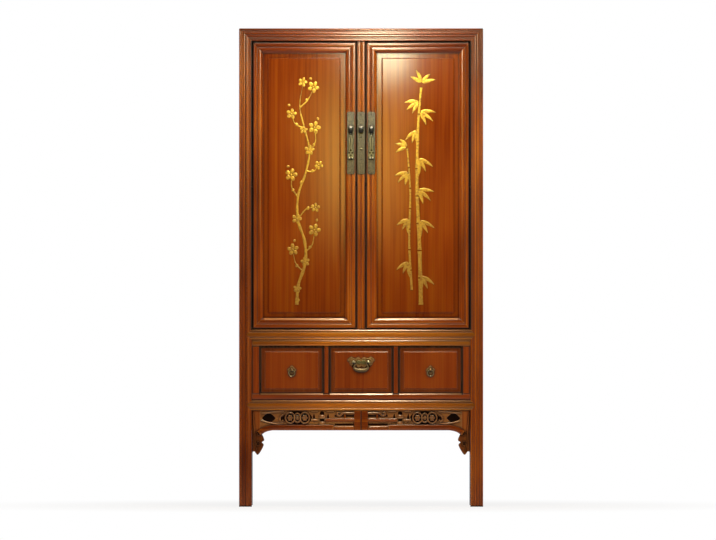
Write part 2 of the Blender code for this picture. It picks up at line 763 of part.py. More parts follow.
def make_shelf(posts):
    """A shelf whose four ears are let into the posts."""
    front = RAIL_DEPTH + SHELF_CLEARANCE
    ears = {"front": front + OVERRUN, "back": DEPTH - FRAME + OVERRUN}
    middle_z = SHELF_TOP - SHELF / 2
    outline = notched_outline(front, tuple(ears.values()))
    piece("shelf", put(slab([outline], SHELF), (0, 0, middle_z), RIGHT, AHEAD, UP), "bare_wood")
    for end_name, start in ears.items():
        for side_name, side in SIDES.items():
            ranges = ((INNER - OVERRUN, INNER + SHELF_EAR),
                      (FRONT + start, FRONT + start + SHELF_EAR_WIDTH), (SHELF_TOP - SHELF, SHELF_TOP))
            cut([posts[end_name, side]], mirrored_box(side, *ranges, FIT),
                f"shelf_mortise_{end_name}_{side_name}")


def face_outline(width):
    """A rounded face with a square back."""
    return run(rib(0, width, base=FACE_CROWN), [(width, FACE_DEPTH), (0, FACE_DEPTH)])


def make_face_frame():
    """The frame round the drawers: two rails, two stiles with guides and two dividers."""
    front = FRONT + FACE_SETBACK
    length = 2 * (INNER - FIT)
    rails = {}
    for name, bottom in (("bottom", FACE_BOTTOM), ("top", DRAWER_OPENING_TOP)):
        mesh = put(slab([face_outline(FACE_RAIL)], length), (0, front, bottom), UP, AHEAD, RIGHT)
        rails[name] = piece(f"drawer_frame_{name}", mesh, "red_brown_lacquer")
    upright = DRAWER_OPENING - 2 * FIT
    middle_z = DRAWER_FLOOR_TOP + DRAWER_OPENING / 2
    back = FRONT + BACK_BOARD_FRONT - FIT
    overlap = front + FACE_DEPTH / 2
    foot = DRAWER_FLOOR_TOP + FIT
    for side_name, side in SIDES.items():
        mesh = put(slab([face_outline(FACE_STILE)], upright), (side * (INNER - FIT), front, middle_z),
                   -side * RIGHT, AHEAD, UP)
        stile = piece(f"drawer_frame_{side_name}", mesh, "red_brown_lacquer")
        guide_x = (DRAWER_ZONE, DRAWER_ZONE + GUIDE_WIDTH)
        join(stile, mirrored_box(side, guide_x, (overlap, back), (foot, foot + GUIDE_HEIGHT)),
             f"drawer_guide_{side_name}")
        centre = side * (OPENING_WIDTH + DIVIDER) / 2
        mesh = put(slab([face_outline(DIVIDER)], upright), (centre - DIVIDER / 2, front, middle_z),
                   RIGHT, AHEAD, UP)
        divider = piece(f"drawer_divider_{side_name}", mesh, "red_brown_lacquer")
        half = PARTITION / 2
        board = box((centre - half, overlap, foot), (centre + half, back, DRAWER_OPENING_TOP - FIT))
        join(divider, board, f"partition_{side_name}")
    return rails


def make_apron():
    """The pierced front apron between two spandrels that drop along the posts."""
    def lens(start, end, low, high):
        """A leaf-shaped hole inside a rectangle, pointed along its longer side."""
        steps = 8
        points = []
        for i in range(2 * steps):
            t = i / steps if i < steps else 2 - i / steps
            bulge = math.sin(math.pi * t) * (1 if i < steps else -1) / 2
            if end - start > high - low:
                points.append((start + (end - start) * t, (low + high) / 2 + bulge * (high - low)))
            else:
                points.append(((start + end) / 2 + bulge * (end - start), low + (high - low) * t))
        return points

    holes = []
    start, end = APRON_SLOT_START, APRON_SLOT_START + APRON_SLOT_LENGTH
    for low in (APRON_LOWER_SLOT, APRON_UPPER_SLOT):
        holes.append([(start, low), (end, low), (end, low + APRON_SLOT), (start, low + APRON_SLOT)])
    tip = APRON_HALF - APRON_END_MARGIN
    leaf = tip - APRON_END_LEAF
    half = APRON_EYELET / 2
    for share in APRON_EYELET_SHARES:
        place = end + share * (leaf - end)
        holes.append(lens(place - half, place + half, APRON_EYELET_LOW, APRON_EYELET_HIGH))
    holes.append(lens(leaf, tip, APRON_EYELET_LOW, APRON_EYELET_HIGH))
    holes += [[(-x, z) for x, z in hole] for hole in holes]
    edge = [(-APRON_HALF, 0), (APRON_HALF, 0), (APRON_HALF, APRON_HEIGHT), (-APRON_HALF, APRON_HEIGHT)]
    middle_y = FRONT + APRON_SETBACK + APRON_THICK / 2
    mesh = put(slab([edge, *holes], APRON_THICK), (0, middle_y, APRON_BOTTOM), RIGHT, UP, AHEAD)
    piece("apron_front", mesh, "red_brown_lacquer")

    wide = SPANDREL + SPANDREL_BULGE
    edge = smooth([(SPANDREL, APRON_BOTTOM), (wide, APRON_BOTTOM - 0.38 * SPANDREL_DROP),
                   (SPANDREL + 0.4 * SPANDREL_BULGE, APRON_BOTTOM - 0.49 * SPANDREL_DROP),
                   (SPANDREL + 0.85 * SPANDREL_BULGE, APRON_BOTTOM - 0.62 * SPANDREL_DROP),
                   (0.75 * SPANDREL, APRON_BOTTOM - SPANDREL_DROP),
                   (0.30 * SPANDREL, APRON_BOTTOM - 0.86 * SPANDREL_DROP),
                   (0, APRON_BOTTOM - 0.92 * SPANDREL_DROP)])
    top = APRON_BOTTOM + APRON_HEIGHT
    outline = run([(0, top), (SPANDREL, top)], edge)
    for side_name, side in SIDES.items():
        mesh = put(slab([outline], APRON_THICK), (side * (INNER - FIT), middle_y, 0),
                   -side * RIGHT, UP, AHEAD)
        piece(f"spandrel_{side_name}", mesh, "red_brown_lacquer")


def door_inner_edge():
    """From the V-groove of a door's frame over the inner rib and down to its panel."""
    inner_rib = DOOR_OUTER_RIB + DOOR_INNER_RIB
    return run(rib(DOOR_OUTER_RIB, inner_rib),
               [(DOOR_MEMBER, DOOR_BEVEL_DEPTH), (DOOR_MEMBER, DOOR_THICK)])


def door_member_outline():
    return run(rib(0, DOOR_OUTER_RIB), door_inner_edge(), [(0, DOOR_THICK)])


def hinge_edge():
    """The half-round outer edge of a door at its hinge, concentric with the pivots."""
    radius = DOOR_THICK / 2
    return arc((radius, radius), radius, 90, 270, 4 * ARC_STEPS)


def hinge_stile_outline():
    flat = DOOR_OUTER_RIB - MOULD_RISE
    return run(hinge_edge(), [(max(flat, DOOR_THICK / 2), 0)], door_inner_edge())


def hinge_waste_outline():
    """What is cut off the ends of a door's rails, so that they turn inside the half-round."""
    back = DOOR_THICK + OVERRUN
    return run([(-OVERRUN, -OVERRUN), (DOOR_THICK / 2, -OVERRUN)], hinge_edge()[::-1],
               [(DOOR_THICK / 2, back), (-OVERRUN, back)])


def make_door(side_name, side, top_rail, middle_rail):
    """A mitred frame with a raised panel, swinging on wooden pivots in the rails."""
    hinge = axis_empty(f"door_{side_name}_axis", (side * PIVOT_X, PIVOT_Y, DOOR_BOTTOM))
    face = FRONT + DOOR_SETBACK
    tall, wide = DOOR_TOP - DOOR_BOTTOM, DOOR_OUTER - DOOR_LOCK_EDGE
    middle_x = side * (DOOR_OUTER + DOOR_LOCK_EDGE) / 2
    middle_z = (DOOR_TOP + DOOR_BOTTOM) / 2
    edges = {"hinge": (side * DOOR_OUTER, -side), "lock": (side * DOOR_LOCK_EDGE, side)}
    levels = {"top": (DOOR_TOP, -1), "bottom": (DOOR_BOTTOM, 1)}
    frame = {}
    for edge_name, (edge_x, inward) in edges.items():
        outline = hinge_stile_outline() if edge_name == "hinge" else door_member_outline()
        mesh = put(slab([outline], tall), (edge_x, face, middle_z), inward * RIGHT, AHEAD, UP)
        for edge_z, up in levels.values():
            mesh = trim(mesh, (edge_x, face, edge_z), (inward, 0, -up))
        frame[edge_name] = piece(f"door_{side_name}_{edge_name}_stile", mesh, "red_brown_lacquer", hinge)
    for level_name, (edge_z, up) in levels.items():
        mesh = put(slab([door_member_outline()], wide), (middle_x, face, edge_z), up * UP, AHEAD, RIGHT)
        for edge_x, inward in edges.values():
            mesh = trim(mesh, (edge_x, face, edge_z), (-inward, 0, up))
        frame[level_name] = piece(f"door_{side_name}_{level_name}_rail", mesh, "red_brown_lacquer", hinge)
    waste = put(slab([hinge_waste_outline()], tall + 2 * OVERRUN), (side * DOOR_OUTER, face, middle_z),
                -side * RIGHT, AHEAD, UP)
    cut([frame["top"], frame["bottom"]], waste, f"hinge_waste_{side_name}")

    foot = (side * PIVOT_X, PIVOT_Y, DOOR_BOTTOM - DOOR_BOTTOM_GAP - PIVOT_REACH)
    head = (side * PIVOT_X, PIVOT_Y, DOOR_TOP + DOOR_TOP_GAP + PIVOT_REACH)
    join(frame["hinge"], rod(foot, head, PIVOT_RADIUS), f"pivots_{side_name}")
    bore = rod(Vector(foot) - FIT * UP, Vector(head) + PIVOT_LIFT * UP, PIVOT_RADIUS + PIVOT_CLEARANCE)
    cut([frame["top"], frame["bottom"], top_rail, middle_rail], bore, f"pivot_bore_{side_name}")

    reach = DOOR_MEMBER - DOOR_PANEL_TONGUE
    x_range = (DOOR_LOCK_EDGE + reach, DOOR_OUTER - reach)
    y_range = (face + DOOR_PANEL_DEPTH, face + DOOR_PANEL_DEPTH + DOOR_PANEL)
    z_range = (DOOR_BOTTOM + reach, DOOR_TOP - reach)
    x0, x1 = sorted(side * x for x in x_range)
    mesh = raised_panel((x0, y_range[0], z_range[0]), (x1, y_range[1], z_range[1]),
                        DOOR_PANEL_TONGUE + FIELD_MARGIN, FIELD_SLOPE, FIELD_RISE)
    piece(f"door_{side_name}_panel", mesh, "amber_lacquer", hinge)
    groove = mirrored_box(side, (x_range[0] - DOOR_PANEL_SLACK, x_range[1] + DOOR_PANEL_SLACK), y_range,
                          (z_range[0] - DOOR_PANEL_SLACK, z_range[1] + DOOR_PANEL_SLACK), FIT)
    cut(frame.values(), groove, f"door_panel_groove_{side_name}")
    return hinge


def make_mullion(top_rail, middle_rail):
    """The centre post: its head slides up into the top rail until its foot clears the middle rail."""
    lift = axis_empty("mullion_axis", (0, FRONT + MULLION_SETBACK, MIDDLE_RAIL_TOP))
    face = FRONT + MULLION_SETBACK
    thick = RAIL_DEPTH - MULLION_SETBACK
    half = MULLION / 2
    foot, head = MIDDLE_RAIL_TOP + FIT, TOP_RAIL_BOTTOM + MULLION_HOUSING
    outline = run(rib(0, half), rib(half, MULLION), [(MULLION, thick), (0, thick)])
    mesh = put(slab([outline], head - foot), (-half, face, (head + foot) / 2), RIGHT, AHEAD, UP)
    mullion = piece("mullion", mesh, "red_brown_lacquer", lift)
    side = MULLION_TENON_SIDE / 2
    middle_y = face + thick / 2
    low = (-side, middle_y - side, MIDDLE_RAIL_TOP - MULLION_TENON)
    high = (side, middle_y + side, MIDDLE_RAIL_TOP)
    join(mullion, box(low, (*high[:2], foot + MULLION_TENON)), "mullion_tenon")
    cut([middle_rail], grown_box(low, high), "mullion_mortise")
    housing = grown_box((-half, face, TOP_RAIL_BOTTOM - OVERRUN),
                        (half, face + thick, head + MULLION_LIFT + OVERRUN))
    cut([top_rail], housing, "mullion_housing")
    return lift


def eye_outline(out, radius, bore, root):
    """A lug seen from the side: a half-round nose with a hole, on a straight root in the plate."""
    nose = arc((-out, 0), radius, 90, 270, EYE_STEPS)
    return [run([(root, radius)], nose, [(root, -radius)]), arc((-out, 0), bore, 0, 360, EYE_STEPS)[:-1]]


def lock_plate(name, centre_x, back, parent, with_staple):
    """A long plate with an eye for the lock bar and, on the doors, a staple for the pendant."""
    half_width, half_height = LOCK_PLATE_WIDTH / 2, LOCK_PLATE_HEIGHT / 2
    notch = LOCK_PLATE_NOTCH
    corners = []
    for sign_x, sign_z in ((1, 1), (-1, 1), (-1, -1), (1, -1)):
        step = [(sign_x * half_width, sign_z * (half_height - notch)),
                (sign_x * (half_width - notch), sign_z * half_height)]
        corners += step if sign_x * sign_z > 0 else step[::-1]
    face = back - LOCK_PLATE_THICK
    middle = (centre_x, back - LOCK_PLATE_THICK / 2, LOCK_PLATE_CENTRE)
    mesh = put(slab([corners], LOCK_PLATE_THICK), middle, RIGHT, UP, AHEAD)
    plate = piece(name, mesh, "aged_brass", parent)
    root = face - FRONT + LOCK_PLATE_THICK / 2
    eye = put(slab(eye_outline(LOCK_BAR_OUT, EYE_RADIUS, EYE_HOLE, root), EYE_WIDTH),
              (centre_x, FRONT, EYE_CENTRE), AHEAD, UP, RIGHT)
    join(plate, eye, f"{name}_eye")
    if with_staple:
        half, sunk = STAPLE_SPAN / 2, face + LOCK_PLATE_THICK / 2
        bar = face - STAPLE_OUT
        bend = STAPLE_WIRE
        route = [(-half, sunk), (-half, bar + bend), (-half + bend, bar),
                 (half - bend, bar), (half, bar + bend), (half, sunk)]
        wire = tube([(centre_x + x, y, STAPLE_HEIGHT) for x, y in route], STAPLE_WIRE)
        join(plate, wire, f"{name}_staple")


def make_lock_set(doors, mullion_axis):
    """Lock plates on the doors and the centre post, and a pendant on each door."""
    lock_plate("lock_plate_centre", 0, FRONT + MULLION_SETBACK - FIT, mullion_axis, False)
    back = FRONT + DOOR_SETBACK - FIT
    axis_y = back - LOCK_PLATE_THICK - STAPLE_OUT
    for side_name, side in SIDES.items():
        centre = side * LOCK_STILE_CENTRE
        lock_plate(f"lock_plate_{side_name}", centre, back, doors[side_name], True)
        swing = axis_empty(f"pendant_{side_name}_axis", (centre, axis_y, STAPLE_HEIGHT), doors[side_name])
        pendant(f"pendant_{side_name}", (centre, axis_y, STAPLE_HEIGHT), swing)


def pendant(name, place, swing):
    """A flat pendant: an eyelet, a neck, a shouldered body, a pierced foot with two lobes."""
    length = PENDANT_LENGTH
    lobe = PENDANT_FOOT / 2
    right = smooth([(PENDANT_NECK, -PENDANT_EYELET), (PENDANT_NECK, -0.12 * length),
                    (PENDANT_SHOULDER, -0.22 * length), (PENDANT_WAIST, -0.52 * length),
                    (PENDANT_FOOT, -0.76 * length), (PENDANT_FOOT, lobe - length)], steps=3)
    feet = arc((lobe, lobe - length), lobe, 0, -180, 6)
    half = run([(PENDANT_NECK, 0)], right, feet)
    outline = run(half, [(-x, z) for x, z in half[::-1]])
    middle = -0.78 * length
    step = PENDANT_HOLE_STEP
    holes = [arc(centre, PENDANT_HOLE, 0, 360, 8)[:-1]
             for centre in ((0, middle + step), (0, middle - step), (-step, middle), (step, middle))]
    mesh = put(slab([outline, *holes], PENDANT_THICK), place, RIGHT, UP, AHEAD)
    thing = piece(name, mesh, "aged_brass", swing)
    reach = PENDANT_EYELET_WIDTH / 2 * RIGHT
    place = Vector(place)
    join(thing, rod(place - reach, place + reach, PENDANT_EYELET, ROUND_SIDES), f"{name}_eyelet")
    cut([thing], rod(place - 2 * reach, place + 2 * reach, PENDANT_BORE, ROUND_SIDES), f"{name}_bore")


def make_drawer(place_name, index):
    """A drawer: a front with a raised field and a box open at the top, behind it."""
    centre = index * DRAWER_PITCH
    slide = axis_empty(f"drawer_{place_name}_axis", (centre, FRONT + DRAWER_SETBACK, DRAWER_FLOOR_TOP))
    half = OPENING_WIDTH / 2 - DRAWER_GAP
    foot = DRAWER_FLOOR_TOP + FIT
    back = FRONT + DRAWER_SETBACK + DRAWER_FRONT
    border = FRONT + DRAWER_SETBACK + DRAWER_FIELD_RISE
    head = DRAWER_OPENING_TOP - DRAWER_TOP_GAP
    mesh = raised_panel((centre - half, border, foot), (centre + half, back, head),
                        DRAWER_FIELD_MARGIN, DRAWER_FIELD_RISE, DRAWER_FIELD_RISE)
    piece(f"drawer_{place_name}_front", mesh, "amber_lacquer", slide)
    half -= DRAWER_BOX_MARGIN
    start, end = back + FIT, back + DRAWER_LENGTH
    outer = box((centre - half, start, foot), (centre + half, end, foot + DRAWER_HEIGHT))
    drawer_box = piece(f"drawer_{place_name}_box", outer, "bare_wood", slide)
    half -= DRAWER_WALL
    inside = box((centre - half, start - OVERRUN, foot + DRAWER_BOTTOM),
                 (centre + half, end - DRAWER_WALL, foot + DRAWER_HEIGHT + OVERRUN))
    cut([drawer_box], inside, f"drawer_{place_name}_inside")
    return slide, centre


def make_bail(slide, centre):
    """The middle drawer's pull: a winged plate, two posts and a bail that hangs in them."""
    face = FRONT + DRAWER_SETBACK - FIT - PULL_PLATE_THICK
    w, h = BAIL_PLATE_WIDTH / 2, BAIL_PLATE_HEIGHT / 2
    right = smooth([(0, 0.55 * h), (0.20 * w, 0.95 * h), (0.45 * w, 0.70 * h), (0.72 * w, h), (w, 0.45 * h),
                    (0.86 * w, 0), (0.74 * w, -0.55 * h), (0.42 * w, -0.60 * h), (0.22 * w, -h),
                    (0, -0.62 * h)], steps=3)
    outline = run(right, [(-x, z) for x, z in right[::-1]])
    mesh = put(slab([outline], PULL_PLATE_THICK), (centre, face + PULL_PLATE_THICK / 2, BAIL_CENTRE),
               RIGHT, UP, AHEAD)
    plate = piece("bail_plate", mesh, "aged_brass", slide)
    pin_y = face - BAIL_PIN_OUT
    post_x = BAIL_POST_SPACING / 2
    for side_name, side in SIDES.items():
        x = centre + side * post_x
        post = rod((x, face + PULL_PLATE_THICK / 2, BAIL_CENTRE), (x, face - BAIL_POST_OUT, BAIL_CENTRE),
                   BAIL_POST_RADIUS, ROUND_SIDES)
        join(plate, post, f"bail_post_{side_name}")
    bore_reach = (post_x + 2 * BAIL_POST_RADIUS) * RIGHT
    middle = Vector((centre, pin_y, BAIL_CENTRE))
    bore = rod(middle - bore_reach, middle + bore_reach, BAIL_BORE, ROUND_SIDES)
    cut([plate], bore, "bail_bore")

    pin_end = post_x - BAIL_POST_RADIUS
    turn_x = pin_end + BAIL_PIN_LENGTH
    bend = BAIL_BEND / 2
    wide, deep = turn_x + bend, BAIL_DROP - bend
    upper = arc((turn_x, -bend), bend, 90, 0, 4)
    lower = [(wide * c, deep * s - bend) for c, s in arc((0, 0), 1, 0, -90, 8)]
    right = run([(pin_end, 0)], upper, lower)
    route = run(right, [(-x, z) for x, z in right[::-1]])
    radii = [1 + (BAIL_GRIP - 1) * (z / BAIL_DROP) ** 2 for _, z in route]
    swing = axis_empty("bail_axis", middle, slide)
    wire = tube([middle + Vector((x, 0, z)) for x, z in route], BAIL_PIN, radii)
    piece("bail", wire, "aged_brass", swing)


def make_ring_pull(place_name, slide, centre):
    """A side drawer's pull: a lobed plate with an eye, and a ring that hangs through the eye."""
    face = FRONT + DRAWER_SETBACK - FIT - PULL_PLATE_THICK
    steps = 32
    angles = [2 * math.pi * i / steps for i in range(steps)]
    lobes = [(RING_PLATE_RADIUS + RING_PLATE_LOBE * math.cos(4 * a), a) for a in angles]
    outline = [(r * math.cos(a), r * math.sin(a)) for r, a in lobes]
    mesh = put(slab([outline], PULL_PLATE_THICK), (centre, face + PULL_PLATE_THICK / 2, RING_CENTRE),
               RIGHT, UP, AHEAD)
    plate = piece(f"ring_plate_{place_name}", mesh, "aged_brass", slide)
    loops = eye_outline(RING_EYE_OUT, RING_EYE_RADIUS, RING_EYE_BORE, PULL_PLATE_THICK / 2)
    eye = put(slab(loops, RING_EYE_WIDTH), (centre, face, RING_CENTRE), AHEAD, UP, RIGHT)
    join(plate, eye, f"ring_eye_{place_name}")
    bow = RING_RADIUS - math.sqrt(RING_RADIUS ** 2 - (RING_EYE_WIDTH / 2) ** 2)
    lip = RING_EYE_BORE * math.cos(math.pi / EYE_STEPS)
    seat = RING_CENTRE - lip + RING_WIRE + bow + FIT
    top = Vector((centre, face - RING_EYE_OUT, seat))
    swing = axis_empty(f"ring_{place_name}_axis", top, slide)
    circle = arc((0, -RING_RADIUS), RING_RADIUS, 90, 450, 24)[:-1]
    ring = tube([top + Vector((x, 0, z)) for x, z in circle], RING_WIRE, closed=True)
    piece(f"ring_{place_name}", ring, "aged_brass", swing)


def main():
    posts = make_posts()
    top_rails = make_top_rails()
    make_top_panel(top_rails)
    middle_rail = pointed_rail("middle_rail_front", MIDDLE_RAIL_BOTTOM, MIDDLE_RAIL, posts)
    pointed_rail("lower_rail_front", LOWER_RAIL_BOTTOM, LOWER_RAIL, posts)
    lower_rails = make_side_rails(posts)
    back_rails = make_back_rails(posts)
    make_panels(posts, top_rails, lower_rails, back_rails)
    make_shelf(posts)
    face_rails = make_face_frame()
    make_floors(middle_rail, face_rails["bottom"])
    make_apron()
    doors = {}
    for name, side in SIDES.items():
        doors[name] = make_door(name, side, top_rails["front"], middle_rail)
    mullion_axis = make_mullion(top_rails["front"], middle_rail)
    make_lock_set(doors, mullion_axis)
    for place_name, index in (("left", -1), ("middle", 0), ("right", 1)):
        slide, centre = make_drawer(place_name, index)
        if place_name == "middle":
            make_bail(slide, centre)
        else:
            make_ring_pull(place_name, slide, centre)


main()
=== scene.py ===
# Looks of the lacquered wedding cabinet: wood, gilt ornament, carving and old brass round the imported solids.
import json
import math
import bmesh
import bpy
import numpy as np
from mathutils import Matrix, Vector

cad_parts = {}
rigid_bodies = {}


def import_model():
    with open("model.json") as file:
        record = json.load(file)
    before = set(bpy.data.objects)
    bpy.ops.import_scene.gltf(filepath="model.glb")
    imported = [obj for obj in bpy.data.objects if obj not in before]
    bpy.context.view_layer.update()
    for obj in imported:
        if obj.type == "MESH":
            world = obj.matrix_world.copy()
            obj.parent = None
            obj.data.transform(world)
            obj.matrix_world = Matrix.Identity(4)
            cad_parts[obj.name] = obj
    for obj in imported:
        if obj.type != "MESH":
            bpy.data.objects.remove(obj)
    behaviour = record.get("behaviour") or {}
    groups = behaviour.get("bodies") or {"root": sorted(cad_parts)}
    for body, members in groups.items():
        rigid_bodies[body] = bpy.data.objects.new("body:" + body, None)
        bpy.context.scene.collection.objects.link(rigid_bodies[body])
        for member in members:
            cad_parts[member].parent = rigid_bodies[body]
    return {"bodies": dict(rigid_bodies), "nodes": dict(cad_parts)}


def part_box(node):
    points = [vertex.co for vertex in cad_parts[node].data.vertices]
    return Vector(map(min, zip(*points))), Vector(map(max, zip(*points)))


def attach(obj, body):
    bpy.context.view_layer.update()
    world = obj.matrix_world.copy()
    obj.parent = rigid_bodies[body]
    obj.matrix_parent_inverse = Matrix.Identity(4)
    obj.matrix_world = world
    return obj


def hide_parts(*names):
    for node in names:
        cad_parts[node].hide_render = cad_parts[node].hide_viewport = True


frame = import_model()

nodes = frame["nodes"]
keptObjects = set(frame["bodies"].values()) | set(nodes.values())
for startObject in [found for found in bpy.data.objects if found not in keptObjects]:
    bpy.data.objects.remove(startObject)
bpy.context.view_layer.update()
scene = bpy.context.scene
scene.view_settings.view_transform = "Standard"
sideNames = ("left", "right")
drawerNames = ("left", "middle", "right")
frameFront = -0.239        # foremost face of the frame
print("frame loaded:", len(nodes), "nodes")


# colours and node building

mixFactor, mixA, mixB, mixResult = 0, 6, 7, 2        # socket numbers of a colour Mix node


def linear(hexColour):
    # sRGB hex to the linear values that shader sockets hold
    srgb = np.array([int(hexColour[i:i + 2], 16) for i in (1, 3, 5)]) / 255
    values = np.where(srgb <= 0.04045, srgb / 12.92, ((srgb + 0.055) / 1.055) ** 2.4)
    return (*values.tolist(), 1.0)


def setInputs(tree, node, inputs):
    # a value is set on its socket, an output is linked to it, and a node stands for its result
    for key, value in inputs.items():
        if isinstance(value, bpy.types.Node):
            value = value.outputs[mixResult if getattr(value, "data_type", "") == "RGBA" else 0]
        if isinstance(value, bpy.types.NodeSocket):
            tree.links.new(value, node.inputs[key])
        else:
            node.inputs[key].default_value = value


def addNode(tree, kind, inputs=None, stops=(), **settings):
    # settings are the node's properties, stops the places and the colours or grey levels of a ramp
    node = tree.nodes.new(kind)
    for name, value in settings.items():
        setattr(node, name, value)
    setInputs(tree, node, inputs or {})
    for i, (place, colour) in enumerate(stops):
        ramp = node.color_ramp.elements
        element = ramp[i] if i < 2 else ramp.new(place)
        element.position = place
        element.color = linear(colour) if isinstance(colour, str) else (colour, colour, colour, 1)
    return node


def newMaterial(name):
    # a material with its tree, its shader and its texture coordinates
    material = bpy.data.materials.new(name)
    material.use_nodes = True
    tree = material.node_tree
    coords = addNode(tree, "ShaderNodeTexCoord").outputs
    return material, tree, tree.nodes["Principled BSDF"], coords


def pattern(tree, place, look, grain=""):
    # random patches as wide as the look says, and as long as it says along the grain, both in millimetres
    sizes = [look["length"] if axis == grain else look["width"] for axis in "XYZ"]
    scale = tuple(1000 / size for size in sizes)
    stretch = addNode(tree, "ShaderNodeMapping", {"Vector": place, "Scale": scale})
    return addNode(tree, "ShaderNodeTexNoise", {"Vector": stretch, "Scale": 1.0, **look["noise"]})


# materials

lacquerLook = {
    # real pores are finer than these, drawn coarser so that they show
    "streak": dict(width=9, length=1300, noise=dict(Detail=3.0, Roughness=0.55, Distortion=0.12)),
    "fine": dict(width=3.2, length=420, noise=dict(Detail=2.0)),
    "cloud": dict(width=170, length=408, noise=dict(Detail=2.0)),
    "flame": dict(width=34, length=900, noise=dict(Detail=1.0, Distortion=1.6)),
    "deepAt": 0.34, "middleAt": 0.5, "brightAt": 0.66,
    "fineStops": (0.38, 0.56), "fineShade": 0.20, "ripple": 0.12, "rippleDepth": 0.0004,
    "wearSheenReach": 0.003, "wearSheenStops": (0.45, 0.95),
    "grimeShadeReach": 0.010, "grimeShadeStops": [(0.52, 1.0), (0.97, 0.0), (0.84, 0.60)],
    "recessShadeStops": [(0.55, 0.90), (0.96, 0.0)],
    "cloudRange": (0.35, 0.65), "dustFrom": (0.90, 0.99), "dustRoughness": 0.9,
    "specular": 0.40, "film": "#ffead2",
}
# reach of the painted shade and black wax from a gap, the place where it ends behind the front, and half a
# gap's width
gapLook = {"dark": 0.0032, "clear": 0.0066, "behind": -0.20, "play": 0.0012}


def pastOblong(tree, sideways, height, low, high):
    # how far a point lies past the nearest side of an upright oblong, less than nothing inside it
    past = []
    for along, start, end in ((sideways, low[0], high[0]), (height, low[2], high[2])):
        reach = (end - start) / 2 + gapLook["play"]
        off = addNode(tree, "ShaderNodeMath", {0: along, 1: (start + end) / 2}, operation="SUBTRACT")
        off = addNode(tree, "ShaderNodeMath", {0: off}, operation="ABSOLUTE")
        past.append(addNode(tree, "ShaderNodeMath", {0: off, 1: reach}, operation="SUBTRACT"))
    return addNode(tree, "ShaderNodeMath", {0: past[0], 1: past[1]}, operation="MAXIMUM")


def gapShadeAndWax(tree, place):
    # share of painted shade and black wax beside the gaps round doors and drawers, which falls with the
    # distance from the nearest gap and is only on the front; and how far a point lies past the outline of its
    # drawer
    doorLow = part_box("door_right_lock_stile")[0]
    doorHigh = (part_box("door_right_hinge_stile")[1][0], 0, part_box("door_right_top_rail")[1][2])
    drawerLow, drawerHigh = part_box("drawer_middle_front")
    pitch = sum(corner[0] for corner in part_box("drawer_right_front")) / 2        # from drawer to drawer
    axes = addNode(tree, "ShaderNodeSeparateXYZ", {0: place}).outputs
    across = addNode(tree, "ShaderNodeMath", {0: axes["X"]}, operation="ABSOLUTE")
    folded = addNode(tree, "ShaderNodeMath", {0: across, 1: 1.5 * pitch}, operation="MINIMUM")
    folded = addNode(tree, "ShaderNodeMath", {0: folded, 1: 0.5 * pitch}, operation="PINGPONG")
    pastDoor = pastOblong(tree, across, axes["Z"], doorLow, doorHigh)
    pastDrawer = pastOblong(tree, folded, axes["Z"], drawerLow, drawerHigh)
    gaps = [addNode(tree, "ShaderNodeMath", {0: past}, operation="ABSOLUTE")
            for past in (pastDoor, pastDrawer)]
    nearest = addNode(tree, "ShaderNodeMath", {0: gaps[0], 1: gaps[1]}, operation="MINIMUM")
    share = addNode(tree, "ShaderNodeMapRange", {"Value": nearest, "From Min": gapLook["clear"],
                                                 "From Max": gapLook["dark"]})
    front = addNode(tree, "ShaderNodeMath", {0: axes["Y"], 1: gapLook["behind"]}, operation="LESS_THAN")
    return addNode(tree, "ShaderNodeMath", {0: share, 1: front}, operation="MULTIPLY"), pastDrawer


# stain where the wood is deep, middling and bright, grime with painted shade, and worn edge wood that also
# paints a highlight
woodTones = {
    "frame": ("#6e2a08", "#a64e11", "#cc721c", "#150502", "#d88426"),
    "panel": ("#7c2f08", "#a04a0e", "#b4600f", "#1c0803", "#b8682a"),
    "drawer": ("#6a2a10", "#9c4818", "#b45e1c", "#150502", "#d69458"),
    # painted light: the rails are a brighter copy of the frame wood
    "rail": ("#a4520e", "#d67e1e", "#f2a63a", "#180703", "#eea44c"),
    "ground": ("#704018", "#9c6028", "#bc7e38", "#0e0703", "#d09c60"),
    "fret": ("#5c2207", "#863b0c", "#a85814", "#120502", "#c07a30"),
    "paintedShade": ("#0e0703", "#180d05", "#241308", "#080401", "#1c0f06"),
    "bracket": ("#7a3816", "#a05622", "#be7230", "#0a0401", "#a0683a"),
    # darker stain for the back, which also stands for painted shade under the cabinet
    "back": ("#2e1005", "#50220a", "#66300d", "#0c0402", "#744016"),
    # painted shade: the top rails are a darker copy of the frame wood
    "top": ("#641f06", "#923a0a", "#b0500e", "#120402", "#a8602a"),
    "sill": ("#6e2a0c", "#984416", "#b45a20", "#150502", "#c87838"),
    # paler wood on the arrises: worn, and a painted highlight
    "arris": ("#a4561c", "#c4742e", "#d89044", "#180703", "#eeb474"),
}


